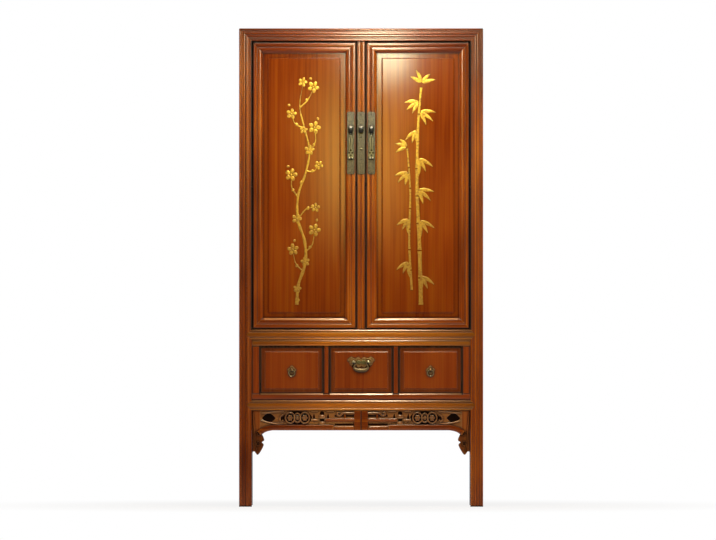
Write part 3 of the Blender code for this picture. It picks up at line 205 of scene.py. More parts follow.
def lacqueredWood(name, grain, tones, rough=(0.13, 0.20), figure=1.0, polish=1.0, worn=0.40, dull=0.85,
                  grimeAndShadeOn=True, gaps=False, flame=0.0, recessShade=0.0, marginShade=None, shadeAlong=None):
    # French-polished hardwood: long streaks of stain under a clear glossy film, black grime and painted
    # shade in the grooves, and paler wood on edges, worn and painted as a highlight; warm bands, sharp
    # highlights
    look = lacquerLook
    deep, middle, bright, grimeShadeColour, edge = woodTones[tones]
    material, tree, shader, coords = newMaterial(name)
    place = coords["Object"]
    streak, fine, cloud = (pattern(tree, place, look[kind], grain) for kind in ("streak", "fine", "cloud"))
    tone = addNode(tree, "ShaderNodeMath", {0: streak, 1: cloud}, operation="ADD")
    tone = addNode(tree, "ShaderNodeMath", {0: tone, 1: 0.5 * figure, 2: 0.5 - 0.5 * figure},
                   operation="MULTIPLY_ADD")
    if flame:        # pointed arches of the cut through the rings, down the middle of a broad board
        rings = pattern(tree, place, look["flame"], grain)
        tone = addNode(tree, "ShaderNodeMix", {0: flame, 2: tone, 3: rings})
    wood = addNode(tree, "ShaderNodeValToRGB", {0: tone},
                   [(look["deepAt"], deep), (look["brightAt"], bright), (look["middleAt"], middle)])
    fineShades = zip(look["fineStops"], (1 - look["fineShade"] * figure, 1.0))
    pores = addNode(tree, "ShaderNodeValToRGB", {0: fine}, fineShades)
    wood = addNode(tree, "ShaderNodeMix", {mixFactor: 1.0, mixA: wood, mixB: pores}, data_type="RGBA",
                   blend_type="MULTIPLY")
    # paler wood where edges and crests are convex: wear, and a painted highlight
    convex = addNode(tree, "ShaderNodeAmbientOcclusion", {"Distance": look["wearSheenReach"]}, samples=6,
                     inside=True)
    rubbed = addNode(tree, "ShaderNodeValToRGB", {0: convex.outputs["AO"]},
                     zip(look["wearSheenStops"], (worn, 0.0)))
    layers = [(rubbed, edge)]        # share and colour of each layer over the stain
    if grimeAndShadeOn:
        # painted shade: occlusion darkens grooves, corners and recesses with the grime colour
        hollow = addNode(tree, "ShaderNodeAmbientOcclusion", {"Distance": look["grimeShadeReach"]}, samples=8)
        grimeAndShade = addNode(tree, "ShaderNodeValToRGB", {0: hollow.outputs["AO"]}, look["grimeShadeStops"])
        if gaps:
            gapShare, pastDrawer = gapShadeAndWax(tree, place)
            grimeAndShade = addNode(tree, "ShaderNodeMath", {0: grimeAndShade, 1: gapShare}, operation="MAXIMUM")
        layers.append((grimeAndShade, grimeShadeColour))
    if recessShade:        # painted shade: a border that lies deeper than its frame is darker
        deeper = addNode(tree, "ShaderNodeAmbientOcclusion", {"Distance": recessShade}, samples=8)
        shade = addNode(tree, "ShaderNodeValToRGB", {0: deeper.outputs["AO"]}, look["recessShadeStops"])
        layers.append((shade, grimeShadeColour))
    if marginShade:        # painted shade: the sunk margin round a drawer's field is darker
        margin = addNode(tree, "ShaderNodeMapRange", {"Value": pastDrawer, "From Min": -marginShade["clear"],
                                                      "From Max": -marginShade["dark"], "To Max": marginShade["share"]})
        layers.append((margin, marginShade["tone"]))
    if shadeAlong:        # painted shade: darker more and more from the start to the end of this stretch
        along = addNode(tree, "ShaderNodeSeparateXYZ", {0: place}).outputs[shadeAlong["along"]]
        along = addNode(tree, "ShaderNodeMath", {0: along}, operation="ABSOLUTE")
        alongShade = addNode(tree, "ShaderNodeMapRange", {"Value": along, "From Min": shadeAlong["start"],
                                                      "From Max": shadeAlong["end"], "To Max": shadeAlong["share"]})
        layers.append((alongShade, grimeShadeColour))
    for share, colour in layers:
        wood = addNode(tree, "ShaderNodeMix", {mixFactor: share, mixA: wood, mixB: linear(colour)},
                       data_type="RGBA")
    gloss = addNode(tree, "ShaderNodeMapRange", {"Value": cloud, "To Min": rough[0], "To Max": rough[1],
                                                 "From Min": look["cloudRange"][0],
                                                 "From Max": look["cloudRange"][1]})
    if grimeAndShadeOn:
        gloss = addNode(tree, "ShaderNodeMix", {0: grimeAndShade, 2: gloss, 3: dull})
    upward = addNode(tree, "ShaderNodeSeparateXYZ", {0: coords["Normal"]}).outputs["Z"]
    dust = addNode(tree, "ShaderNodeMapRange", {"Value": upward, "From Min": look["dustFrom"][0],
                                                "From Max": look["dustFrom"][1]})        # dulls what faces up
    gloss = addNode(tree, "ShaderNodeMix", {0: dust, 2: gloss, 3: look["dustRoughness"]})
    ripple = addNode(tree, "ShaderNodeBump", {"Height": fine, "Strength": look["ripple"] * figure,
                                              "Distance": look["rippleDepth"]})
    setInputs(tree, shader, {"Base Color": wood, "Roughness": gloss, "Normal": ripple})
    shader.inputs["Specular IOR Level"].default_value = look["specular"] * polish
    shader.inputs["Specular Tint"].default_value = linear(look["film"])        # warms what it mirrors
    return material


frameWood = {grain: lacqueredWood("red brown lacquered hardwood, grain " + grain, grain, "frame", gaps=True)
             for grain in "XYZ"}
# painted shade: the posts darken towards their tops
postWood = lacqueredWood("red brown lacquered post", "Z", "frame", gaps=True,
                         shadeAlong=dict(along="Z", start=1.55, end=1.95, share=0.36))
# painted shade: the panels darken towards their feet and on their sunk border
panelWood = lacqueredWood("amber lacquered camphor panel", "Z", "panel", rough=(0.10, 0.16), figure=0.65,
                          dull=0.30, flame=0.28, recessShade=0.024,
                          shadeAlong=dict(along="Z", start=1.15, end=0.78, share=0.16))
# painted shade on the drawers' sunk border and margin; edges worn and painted as a highlight
drawerWood = lacqueredWood("russet lacquered drawer front", "Z", "drawer", figure=0.5, worn=0.85, gaps=True,
                           recessShade=0.020, marginShade=dict(dark=0.014, clear=0.019, share=0.36, tone="#2c1c0a"))
sillWood = {grain: lacqueredWood("russet lacquered drawer frame, grain " + grain, grain, "sill", figure=0.7,
                                 gaps=True) for grain in "XZ"}
# painted shade: the top rails are a darker copy of the frame wood, darker still towards their ends
topWood = lacqueredWood("red lacquered rail shaded darker at the ends", "X", "top", figure=0.5, polish=0.95, gaps=True,
                        shadeAlong=dict(along="X", start=0.10, end=0.46, share=0.50))
# painted light: a brighter copy for the rails, with painted shade towards their ends
railWood = lacqueredWood("honey brown lacquered rail", "X", "rail", figure=0.6, gaps=True,
                         shadeAlong=dict(along="X", start=0.14, end=0.48, share=0.60))
# paler arris wood, worn and painted as a highlight, with painted shade towards the ends
arrisWood = lacqueredWood("hand polished arris", "X", "arris", rough=(0.12, 0.16), figure=0.4, grimeAndShadeOn=False,
                          shadeAlong=dict(along="X", start=0.10, end=0.46, share=0.70))
bevelWood = lacqueredWood("hand polished bevel", "X", "arris", rough=(0.12, 0.16), figure=0.4, grimeAndShadeOn=False)
carvedWood = lacqueredWood("carved red brown hardwood", "X", "fret")
carvedDusty = lacqueredWood("carved brown hardwood with dust", "X", "ground", rough=(0.14, 0.24), polish=2.0)
carvedGround = lacqueredWood("dusty carved ground", "X", "ground", rough=(0.45, 0.6))
# painted shade: near black wood for the discs that stand in for shade
paintedShadeWood = lacqueredWood("painted shade in hollows", "X", "paintedShade", rough=(0.5, 0.65), polish=0.05)
# painted shade: the brackets darken towards their feet
bracketWood = lacqueredWood("carved bracket shaded darker at its foot", "Z", "bracket", rough=(0.35, 0.5), polish=0.4,
                            shadeAlong=dict(along="Z", start=0.322, end=0.296, share=0.48))
# painted shade: long-reach occlusion darkens the back timbers under and behind the cabinet
backWood = {grain: lacqueredWood("dull stained back timber, grain " + grain, grain, "back", rough=(0.45, 0.6),
                                 polish=0.35, recessShade=0.40) for grain in "XZ"}

softwoodLook = {
    "rings": dict(width=11, length=500, noise=dict(Detail=4.0, Distortion=0.4)),
    "ringStops": [(0.32, "#7a5027"), (0.62, "#b98a55"), (0.22, "#5a3518")],
    "hollowReach": 0.02, "ripple": 0.2, "rippleDepth": 0.0006, "roughness": 0.72, "specular": 0.2,
}


def bareSoftwood(name, grain):
    # planed fir left unfinished inside: dull pale boards with brown summer rings and no film
    look = softwoodLook
    material, tree, shader, coords = newMaterial(name)
    rings = pattern(tree, coords["Object"], look["rings"], grain)
    wood = addNode(tree, "ShaderNodeValToRGB", {0: rings}, look["ringStops"])
    # painted shade: the boards are darker in corners and recesses
    hollow = addNode(tree, "ShaderNodeAmbientOcclusion", {"Distance": look["hollowReach"], "Color": wood},
                     samples=6)
    ripple = addNode(tree, "ShaderNodeBump", {"Height": rings, "Strength": look["ripple"],
                                              "Distance": look["rippleDepth"]})
    setInputs(tree, shader, {"Base Color": hollow.outputs["Color"], "Normal": ripple})
    shader.inputs["Roughness"].default_value = look["roughness"]
    shader.inputs["Specular IOR Level"].default_value = look["specular"]
    return material


softwood = {grain: bareSoftwood("bare fir boards, grain " + grain, grain) for grain in "XYZ"}

brassLook = {
    "mottle": dict(width=5, noise=dict(Detail=5.0, Roughness=0.65)),
    "patinaAt": 0.36, "wornAt": 0.5, "cleanAt": 0.68,
    "grimeShadeColour": "#0e0a05", "grimeShadeReach": 0.012, "grimeShadeStops": [(0.40, 1.0), (0.90, 0.0)], "paintedShade": 0.97,
    "mottleRange": (0.3, 0.7), "pits": 0.25, "pitDepth": 0.0004, "metallic": 0.55,
}


def agedBrass(name, clean, worn, patina, rough=(0.30, 0.52), undersideShade=(-0.15, -0.65)):
    # cast brass left to tarnish: greenish grey skin, brighter where hands rub it; grime with painted shade,
    # near black, in corners and behind what hangs in front, and painted shade, black, on what faces down
    look = brassLook
    material, tree, shader, coords = newMaterial(name)
    mottle = pattern(tree, coords["Object"], look["mottle"])
    skin = addNode(tree, "ShaderNodeValToRGB", {0: mottle},
                   [(look["patinaAt"], patina), (look["cleanAt"], clean), (look["wornAt"], worn)])
    hollow = addNode(tree, "ShaderNodeAmbientOcclusion", {"Distance": look["grimeShadeReach"]}, samples=8)
    grimeAndShade = addNode(tree, "ShaderNodeValToRGB", {0: hollow.outputs["AO"]}, look["grimeShadeStops"])
    upward = addNode(tree, "ShaderNodeSeparateXYZ", {0: coords["Normal"]}).outputs["Z"]
    undersideShaded = addNode(tree, "ShaderNodeMapRange", {"Value": upward, "From Min": undersideShade[0], "From Max": undersideShade[1],
                                                  "To Max": look["paintedShade"]})
    grimeAndShade = addNode(tree, "ShaderNodeMath", {0: grimeAndShade, 1: undersideShaded}, operation="MAXIMUM")
    skin = addNode(tree, "ShaderNodeMix", {mixFactor: grimeAndShade, mixA: skin, mixB: linear(look["grimeShadeColour"])},
                   data_type="RGBA")
    gloss = addNode(tree, "ShaderNodeMapRange", {"Value": mottle, "To Min": rough[1], "To Max": rough[0],
                                                 "From Min": look["mottleRange"][0],
                                                 "From Max": look["mottleRange"][1]})
    pitted = addNode(tree, "ShaderNodeBump", {"Height": mottle, "Strength": look["pits"],
                                              "Distance": look["pitDepth"]})
    setInputs(tree, shader, {"Base Color": skin, "Roughness": gloss, "Normal": pitted})
    shader.inputs["Metallic"].default_value = look["metallic"]
    return material


# painted shade: every brass turns black on what faces down, the eye and lobe from higher up their sides
plateBrass = agedBrass("tarnished brass sheet", "#5c5140", "#453b2e", "#2a241b")
bronzeBrass = agedBrass("browned brass casting", "#b2864a", "#8a6232", "#5a3c1c")
oliveBrass = agedBrass("olive tarnished brass", "#8e8650", "#6e6638", "#484222")
rubbedBrass = agedBrass("hand rubbed brass", "#c4b48a", "#958560", "#5c5034", rough=(0.18, 0.32))
bailBrass = agedBrass("browned bail brass", "#988058", "#705a3a", "#443620", rough=(0.38, 0.54))
pendantBrass = agedBrass("grey rubbed brass", "#726c5e", "#57524a", "#38342c", rough=(0.22, 0.36),
                         undersideShade=(-0.05, -0.45))
# knob and lobe are paler than the plate: rubbed brass, and a painted highlight
knobBrass = agedBrass("bright knob brass, rubbed and painted with highlight", "#c6be98", "#a49b74", "#746c4a", rough=(0.28, 0.40),
                      undersideShade=(0.0, -0.35))
eyeBrass = agedBrass("polished brass eye", "#908a78", "#777162", "#585246", rough=(0.40, 0.50),
                     undersideShade=(0.50, 0.22))
lobeBrass = agedBrass("rubbed brass lobe with painted highlight", "#b8b09a", "#989078", "#6e6852", rough=(0.26, 0.36),
                      undersideShade=(0.36, 0.08))
print("materials made")


# dressing of the solids that stay

dressing = {"weld": 1e-5, "flatAngle": math.radians(0.5), "edge": 0.0008, "segments": 2,
            "sharpAngle": math.radians(32)}


def smoothByAngleGroup(sharpAngle):
    # shades faces smooth and keeps an edge sharp where its two faces turn more than the angle
    tree = bpy.data.node_groups.new("smooth by angle", "GeometryNodeTree")
    for way in ("INPUT", "OUTPUT"):
        tree.interface.new_socket("Geometry", in_out=way, socket_type="NodeSocketGeometry")
    start = addNode(tree, "NodeGroupInput")
    turn = addNode(tree, "GeometryNodeInputMeshEdgeAngle").outputs["Unsigned Angle"]
    sharp = addNode(tree, "FunctionNodeCompare", {"A": turn, "B": sharpAngle}, operation="GREATER_THAN")
    shaded = addNode(tree, "GeometryNodeSetMeshNormal", mode="SHARPNESS")
    setInputs(tree, shaded, {"Mesh": start, "Remove Custom": True, "Edge Sharpness": sharp})
    addNode(tree, "NodeGroupOutput", {0: shaded})
    return tree


smoothByAngle = smoothByAngleGroup(dressing["sharpAngle"])


def evenShading(piece):
    # flat faces stay flat to the eye up to their rounded edges
    piece.modifiers.new("even shading", "WEIGHTED_NORMAL").keep_sharp = True


def dress(material, *names):
    # gives solids their finish: triangles merge to whole faces, edges are rounded, round faces shade smooth
    for name in names:
        piece = nodes[name]
        piece.data.materials.clear()
        piece.data.materials.append(material)
        piece.modifiers.new("weld", "WELD").merge_threshold = dressing["weld"]
        flat = piece.modifiers.new("flat faces", "DECIMATE")
        flat.decimate_type = "DISSOLVE"
        flat.angle_limit = dressing["flatAngle"]
        soft = piece.modifiers.new("soft edge", "BEVEL")
        soft.width = dressing["edge"]
        soft.segments = dressing["segments"]
        soft.limit_method = "ANGLE"
        soft.angle_limit = dressing["sharpAngle"]
        piece.modifiers.new("shade", "NODES").node_group = smoothByAngle
        evenShading(piece)


def eachOf(form, names=sideNames):
    # the nodes of one kind, one for each place
    return [form.format(name) for name in names]


dress(postWood, *eachOf("post_front_{}"))
dress(frameWood["X"], "top_panel", *eachOf("door_{}_bottom_rail"))
dress(frameWood["Y"], *eachOf("top_rail_{}"), *eachOf("middle_rail_{}"), *eachOf("lower_rail_{}"))
dress(frameWood["Z"], "mullion", *eachOf("door_{}_hinge_stile"), *eachOf("door_{}_lock_stile"))
dress(topWood, "top_rail_front", *eachOf("door_{}_top_rail"))
dress(railWood, "middle_rail_front", "lower_rail_front", "drawer_frame_top")
dress(sillWood["X"], "drawer_frame_bottom")
dress(sillWood["Z"], *eachOf("drawer_frame_{}"), *eachOf("drawer_divider_{}"))
dress(panelWood, *eachOf("door_{}_panel"), *eachOf("side_panel_{}"))
dress(drawerWood, *eachOf("drawer_{}_front", drawerNames))
dress(carvedGround, "apron_front")
dress(bracketWood, *eachOf("spandrel_{}"))
dress(backWood["X"], "top_rail_back", "middle_rail_back", "lower_rail_back")
dress(backWood["Z"], *eachOf("post_back_{}"))
dress(softwood["X"], "shelf", "compartment_floor", "drawer_floor")
dress(softwood["Y"], *eachOf("drawer_{}_box", drawerNames))
dress(softwood["Z"], "back_panel")
print("solids dressed")


# shape tools

def ringSkin(rings, loop=False):
    # rings of points carried along a path, joined ring to ring; open ends are closed by a fan to their middle
    count, sides = rings.shape[:2]
    index = np.arange(count * sides).reshape(count, sides)
    here, there = (index, np.roll(index, -1, 0)) if loop else (index[:-1], index[1:])
    quads = np.stack([here, np.roll(here, -1, 1), np.roll(there, -1, 1), there], -1).reshape(-1, 4)
    points = rings.reshape(-1, 3)
    fans = np.zeros((0, 3), int)
    if not loop:
        points = np.concatenate([points, rings[:1].mean(1), rings[-1:].mean(1)])
        first = np.stack([np.roll(index[0], -1), index[0], np.full(sides, count * sides)], -1)
        last = np.stack([index[-1], np.roll(index[-1], -1), np.full(sides, count * sides + 1)], -1)
        fans = np.concatenate([first, last])
    return points, quads, fans


def smoothLine(points, steps=6):
    # Catmull-Rom curve through given points, worked out for all stretches at once
    knots = np.array(points, float)
    knots = np.concatenate([2 * knots[:1] - knots[1:2], knots, 2 * knots[-1:] - knots[-2:-1]])
    share = (np.arange(steps) / steps)[None, :, None]
    before, start, end, after = (knots[i:len(knots) - 3 + i, None] for i in range(4))
    line = (2 * start + (end - before) * share + (2 * before - 5 * start + 4 * end - after) * share ** 2
            + (3 * start - before - 3 * end + after) * share ** 3) / 2
    return np.concatenate([line.reshape(-1, knots.shape[1]), knots[-2:-1]])


def lengthAlong(line):
    # distance of each point from the line's start, measured along it
    return np.concatenate([[0], np.cumsum(np.linalg.norm(np.diff(line, axis=0), axis=1))])


def pointsAt(line, lengths, places):
    # points of a flat line at the given distances along it
    return np.stack([np.interp(places, lengths, line[:, axis]) for axis in (0, 1)], -1)


def swelling(count, places, widths):
    # width at evenly spaced points of a line, straight between the widths set at some shares of its length
    return np.interp(np.linspace(0, 1, count), places, widths)


def directions(path, loop):
    # unit vector along the path at each point, from its two neighbours
    along = np.roll(path, -1, 0) - np.roll(path, 1, 0) if loop else np.gradient(path, axis=0)
    return along / np.linalg.norm(along, axis=1, keepdims=True)


def fullTurn(count):
    # angles of points spaced evenly round a circle
    return np.arange(count) * 2 * np.pi / count


def stroke(line, halfWidth, rise, face, sink=0.0004, sides=14, square=1.0, loop=False):
    # raised line on an upright face: a half-round profile, as wide as asked at each point, carried along
    # the line; a square share below 1 flattens the crown and steepens the flanks
    line = np.asarray(line, float)
    along = directions(line, loop)
    across = np.stack([-along[:, 1], along[:, 0]], -1)
    turn = fullTurn(sides) + np.pi / sides
    lateral = np.sign(np.cos(turn)) * np.abs(np.cos(turn)) ** square
    height = np.where(np.sin(turn) > 0, np.abs(np.sin(turn)) ** square, 0)
    halfWidth = np.broadcast_to(halfWidth, len(line))[:, None, None]
    flat = line[:, None] + across[:, None] * lateral[None, :, None] * halfWidth
    out = np.broadcast_to(np.where(height > 0, height * rise, -sink), flat.shape[:2])
    return ringSkin(np.stack([flat[..., 0], face - out, flat[..., 1]], -1), loop)


domeForm = {"firstRing": 0.06, "dishReach": 0.42}


def dome(centre, radii, rise, face, tilt=0.0, lobes=0, lobeDepth=0.0, dish=0.0, sides=24, steps=6,
         sink=0.0004):
    # boss on an upright face: height falls from the middle as a quarter ellipse, less a dish sunk in its
    # crown; the rim is an ellipse, tilted, whose reach is waved by the lobes
    angle = fullTurn(sides)
    reach = 1 + lobeDepth * np.cos(lobes * angle)
    share = np.append(np.sin(np.linspace(domeForm["firstRing"], 1, steps) * np.pi / 2), 1.0)
    height = rise * (np.sqrt(1 - share ** 2) - dish * np.exp(-(share / domeForm["dishReach"]) ** 2))
    height[-1] = -sink
    wide = share[:, None] * (radii[0] * reach * np.cos(angle))[None]
    long = share[:, None] * (radii[1] * reach * np.sin(angle))[None]
    x = centre[0] + wide * math.cos(tilt) - long * math.sin(tilt)
    z = centre[1] + wide * math.sin(tilt) + long * math.cos(tilt)
    return ringSkin(np.stack([x, np.broadcast_to(face - height[:, None], x.shape), z], -1))


def turned(centre, profile, sides=20):
    # turned piece that stands out from an upright face: rings of each radius at each distance out
    radius, out = np.array(profile, float).T
    angle = fullTurn(sides)
    x = centre[0] + radius[:, None] * np.cos(angle)
    z = centre[2] + radius[:, None] * np.sin(angle)
    return ringSkin(np.stack([x, np.broadcast_to(centre[1] - out[:, None], x.shape), z], -1))


def wire(path, radius, planeNormal, thick=1.0, square=1.0, sides=12, loop=False):
    # round or squared bar along a path that lies in one plane; thick is its size square to the plane
    # over its radius
    path = np.asarray(path, float)
    along = directions(path, loop)
    normal = np.broadcast_to(np.array(planeNormal, float), along.shape)
    across = np.cross(normal, along)
    turn = fullTurn(sides) + np.pi / sides
    lateral, upright = (np.sign(part) * np.abs(part) ** square for part in (np.cos(turn), np.sin(turn)))
    radius = np.broadcast_to(radius, len(path))[:, None, None]
    ring = across[:, None] * lateral[None, :, None] + normal[:, None] * (upright * thick)[None, :, None]
    return ringSkin(path[:, None] + ring * radius, loop)


def eye(centre, outer, bore, wide, square, sides, tall=1.0):
    # eye with its bore from side to side: a flattened bar carried round a circle that may be drawn taller
    turn = fullTurn(32)
    middle, thick = (outer + bore) / 2, (outer - bore) / 2
    path = np.stack([np.full(len(turn), centre[0]), centre[1] + middle * np.cos(turn),
                     centre[2] + middle * tall * np.sin(turn)], -1)
    return wire(path, thick, (1, 0, 0), wide / 2 / thick, square, sides, True)


def sheet(outline, centre, back, thick, edge, crown=0.0):
    # sheet metal cut to an outline that is seen whole from its middle: rings shrink from the rim to the
    # middle, with a rounded front edge and a slight crown
    outline = np.asarray(outline, float)
    along = directions(outline, True)
    inward = np.stack([-along[:, 1], along[:, 0]], -1)
    # share of the outline, inset from it and height of each ring, from the back's middle to the front's
    rings = [(0.02, 0, 0), (0.6, 0, 0), (1, 0, 0), (1, 0, thick - edge), (1, 0.3 * edge, thick - 0.3 * edge),
             (1, edge, thick), (0.8, edge, thick + 0.4 * crown), (0.45, edge, thick + 0.8 * crown),
             (0.02, 0, thick + crown)]
    scale, inset, out = (np.array(values)[:, None, None] for values in zip(*rings))
    flat = outline[None] * scale + inward[None] * inset
    y = np.broadcast_to(back - out[..., 0], flat.shape[:2])
    return ringSkin(np.stack([centre[0] + flat[..., 0], y, centre[1] + flat[..., 1]], -1))


pieceForm = {"mergeReach": 2e-6, "sharpAngle": math.radians(50)}


def makePiece(name, shapes, material, body, standsFor=(), flat=False):
    # joins the shapes into one mesh and hangs it on its body
    points, quads, fans = zip(*shapes)
    starts = np.cumsum([0] + [len(part) for part in points])
    faces = [np.concatenate([part + start for part, start in zip(kind, starts)]).tolist()
             for kind in (quads, fans)]
    mesh = bpy.data.meshes.new(name)
    mesh.from_pydata(np.concatenate(points).tolist(), [], faces[0] + faces[1])
    shell = bmesh.new()
    shell.from_mesh(mesh)
    bmesh.ops.remove_doubles(shell, verts=shell.verts, dist=pieceForm["mergeReach"])
    bmesh.ops.recalc_face_normals(shell, faces=shell.faces)
    shell.to_mesh(mesh)
    shell.free()
    mesh.shade_smooth()
    mesh.set_sharp_from_angle(angle=pieceForm["sharpAngle"])
    mesh.materials.append(material)
    piece = bpy.data.objects.new(name, mesh)
    scene.collection.objects.link(piece)
    if flat:
        evenShading(piece)
    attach(piece, body)
    if standsFor:
        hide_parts(*standsFor)


# gilt ornament on the door panels: flowering plum on the left door, bamboo on the right

giltLook = {
    "speck": dict(width=7, noise=dict(Detail=4.0, Roughness=0.6)),
    # high and low are the colours of the painted light, bright high on the doors and browner low down
    "high": "#e2b42c", "low": "#b58a2c", "highAt": 1.75, "lowAt": 0.95,
    "rubbed": "#8a5a1e", "rubStops": [(0.36, 0.75), (0.54, 0.0)], "rough": (0.52, 0.36),
    "grain": 0.3, "grainDepth": 0.0003, "metallic": 0.25, "specular": 0.25,
}


def giltPaint(name):
    # gold powder paint in lacquer: warm yellow, hardly shiny, rubbed brown in random patches; painted light
    # makes it brighter high on the doors and browner low down
    look = giltLook
    material, tree, shader, coords = newMaterial(name)
    speck = pattern(tree, coords["Object"], look["speck"])
    # painted light: the gold is brighter higher up the door
    height = addNode(tree, "ShaderNodeSeparateXYZ", {0: coords["Object"]}).outputs["Z"]
    share = addNode(tree, "ShaderNodeMapRange", {"Value": height, "From Min": look["lowAt"],
                                                 "From Max": look["highAt"]})
    gold = addNode(tree, "ShaderNodeMix", {mixFactor: share, mixA: linear(look["low"]),
                                           mixB: linear(look["high"])}, data_type="RGBA")
    rubbed = addNode(tree, "ShaderNodeValToRGB", {0: speck}, look["rubStops"])
    gold = addNode(tree, "ShaderNodeMix", {mixFactor: rubbed, mixA: gold, mixB: linear(look["rubbed"])},
                   data_type="RGBA")
    gloss = addNode(tree, "ShaderNodeMapRange", {"Value": speck, "To Min": look["rough"][0],
                                                 "To Max": look["rough"][1]})
    grain = addNode(tree, "ShaderNodeBump", {"Height": speck, "Strength": look["grain"],
                                             "Distance": look["grainDepth"]})
    setInputs(tree, shader, {"Base Color": gold, "Roughness": gloss, "Normal": grain})
    shader.inputs["Metallic"].default_value = look["metallic"]
    shader.inputs["Specular IOR Level"].default_value = look["specular"]
    return material


gilt = giltPaint("gold powder paint")
# face is the front of a panel's raised field
ornament = {"face": -0.228, "foot": 0.828, "rise": 0.0011, "petalRise": 0.0014}


def onPanel(side, points):
    # millimetres across from the panel's middle and up from the ornament's foot, to metres on the panel
    low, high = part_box(f"door_{side}_panel")
    return np.array(points, float) / 1000 + np.array([(low[0] + high[0]) / 2, ornament["foot"]])


plum = {
    "stem": [(-30, 0), (-24, 80), (4, 170), (2, 260), (-26, 350), (-24, 450), (6, 540), (22, 630), (2, 720),
             (-18, 810), (-6, 900)],
    "stemWidth": (7.0, 2.6),
    "twigs": [[(-6, 138), (-34, 168), (-46, 214)], [(3, 215), (32, 244), (42, 292)],
              [(-25, 352), (8, 392), (40, 398)], [(-26, 442), (-50, 478), (-52, 520)],
              [(8, 548), (38, 546), (56, 568)], [(22, 628), (46, 668), (44, 712)],
              [(0, 724), (-34, 738), (-50, 770)], [(-17, 808), (14, 838), (36, 880)]],
    "twigWidth": (3.4, 1.4),
    "knotDepth": 0.16, "knotRate": 2.6, "tip": (6, 0.1),
    "flowers": [(-46, 226, 25), (42, 306, 27), (46, 398, 20), (-30, 352, 22), (-53, 532, 27), (60, 572, 19),
                (22, 634, 22), (42, 726, 27), (-52, 782, 23), (38, 892, 25), (-6, 912, 20), (4, 176, 20),
                (-28, 66, 18), (-2, 716, 17)],
    # sizes as shares of a flower's or a bud's radius, turns in degrees for each millimetre across or up
    "petals": 5, "petalAt": 0.60, "petalSize": (0.38, 0.315), "petalDish": 0.3, "flowerTurn": 3,
    "heart": 0.20, "heartRise": 1.3,
    "buds": [(-30, 160, 8), (24, 236, 8), (16, 396, 9), (-46, 470, 8), (-12, 500, 9), (34, 548, 8),
             (40, 655, 8), (-30, 738, 9), (10, 838, 8), (-40, 262, 7), (52, 346, 7), (-66, 566, 7),
             (56, 762, 7), (-62, 818, 7), (26, 926, 7), (-24, 20, 8)],
    "budSize": (0.9, 0.7), "budTurn": 7,
}
plumShapes = []
plumLines = [(plum["stem"], plum["stemWidth"])] + [(twig, plum["twigWidth"]) for twig in plum["twigs"]]
for points, (start, end) in plumLines:
    line = smoothLine(onPanel("left", points), 8)
    share = np.linspace(0, 1, len(line))
    knots = 1 + plum["knotDepth"] * np.sin(share * len(points) * plum["knotRate"] * np.pi)
    taper = np.minimum(1, plum["tip"][0] * (1 - share) + plum["tip"][1])
    width = (start + (end - start) * share) / 1000 * knots * taper
    plumShapes.append(stroke(line, width, ornament["rise"], ornament["face"]))
for across, up, radius in plum["flowers"]:
    middle = onPanel("left", [(across, up)])[0]
    size = radius / 1000
    for petal in range(plum["petals"]):
        turn = math.radians(90 + 360 / plum["petals"] * petal + plum["flowerTurn"] * across)
        spot = middle + plum["petalAt"] * size * np.array([math.cos(turn), math.sin(turn)])
        plumShapes.append(dome(spot, np.array(plum["petalSize"]) * size, ornament["petalRise"],
                               ornament["face"], tilt=turn, dish=plum["petalDish"], sides=18, steps=5))
    plumShapes.append(dome(middle, (plum["heart"] * size, plum["heart"] * size),
                           plum["heartRise"] * ornament["petalRise"], ornament["face"], sides=12, steps=4))
for across, up, radius in plum["buds"]:
    plumShapes.append(dome(onPanel("left", [(across, up)])[0], np.array(plum["budSize"]) * radius / 1000,
                           ornament["petalRise"], ornament["face"],
                           tilt=math.radians(plum["budTurn"] * up), sides=14, steps=4))
makePiece("gilt_plum_branch", plumShapes, gilt, "door_left")

bamboo = {
    "canes": [dict(line=[(12, 0), (6, 240), (-4, 480), (0, 720), (14, 905)], width=(8.5, 4.5), joint=112),
              dict(line=[(-26, 60), (-36, 260), (-32, 460), (-44, 640)], width=(5.0, 3.2), joint=84)],
    "jointGap": 5.0, "jointFlare": 0.22, "shortest": 30,
    # root across and up, angle of each leaf, length
    "leaves": [(8, 118, (-18, -46, -74), 70), (-34, 176, (198, 226, 256), 64),
               (2, 345, (-12, -40, -70), 74), (-33, 350, (190, 220, 248), 60),
               (-5, 470, (-24, -52, 8), 72), (-34, 540, (205, 236, 176), 62),
               (-3, 600, (-15, -44, -72), 74), (-44, 645, (150, 120, 190), 52),
               (-1, 715, (205, 232, 258), 66), (4, 790, (-20, -48, 12), 70),
               (8, 830, (196, 222, 168), 64), (14, 905, (98, 62, 30, 134), 62)],
    "leafWidth": 7.5, "leafSwell": (0.72, 0.9), "leafTip": 0.03, "leafDroop": 14, "leafStart": 0.10,
    "shorter": 0.12,
}
bambooShapes = []
for cane in bamboo["canes"]:
    line = smoothLine(onPanel("right", cane["line"]), 24)
    lengths = lengthAlong(line) * 1000
    for start in np.arange(0, lengths[-1] - bamboo["shortest"], cane["joint"]):
        end = min(start + cane["joint"] - bamboo["jointGap"], lengths[-1])
        places = np.linspace(start, end, 16)
        width = np.interp(places, (0, lengths[-1]), cane["width"])
        flare = 1 + bamboo["jointFlare"] * np.abs(np.linspace(-1, 1, 16)) ** 6
        bambooShapes.append(stroke(pointsAt(line, lengths, places), width * flare / 1000, ornament["rise"],
                                   ornament["face"]))
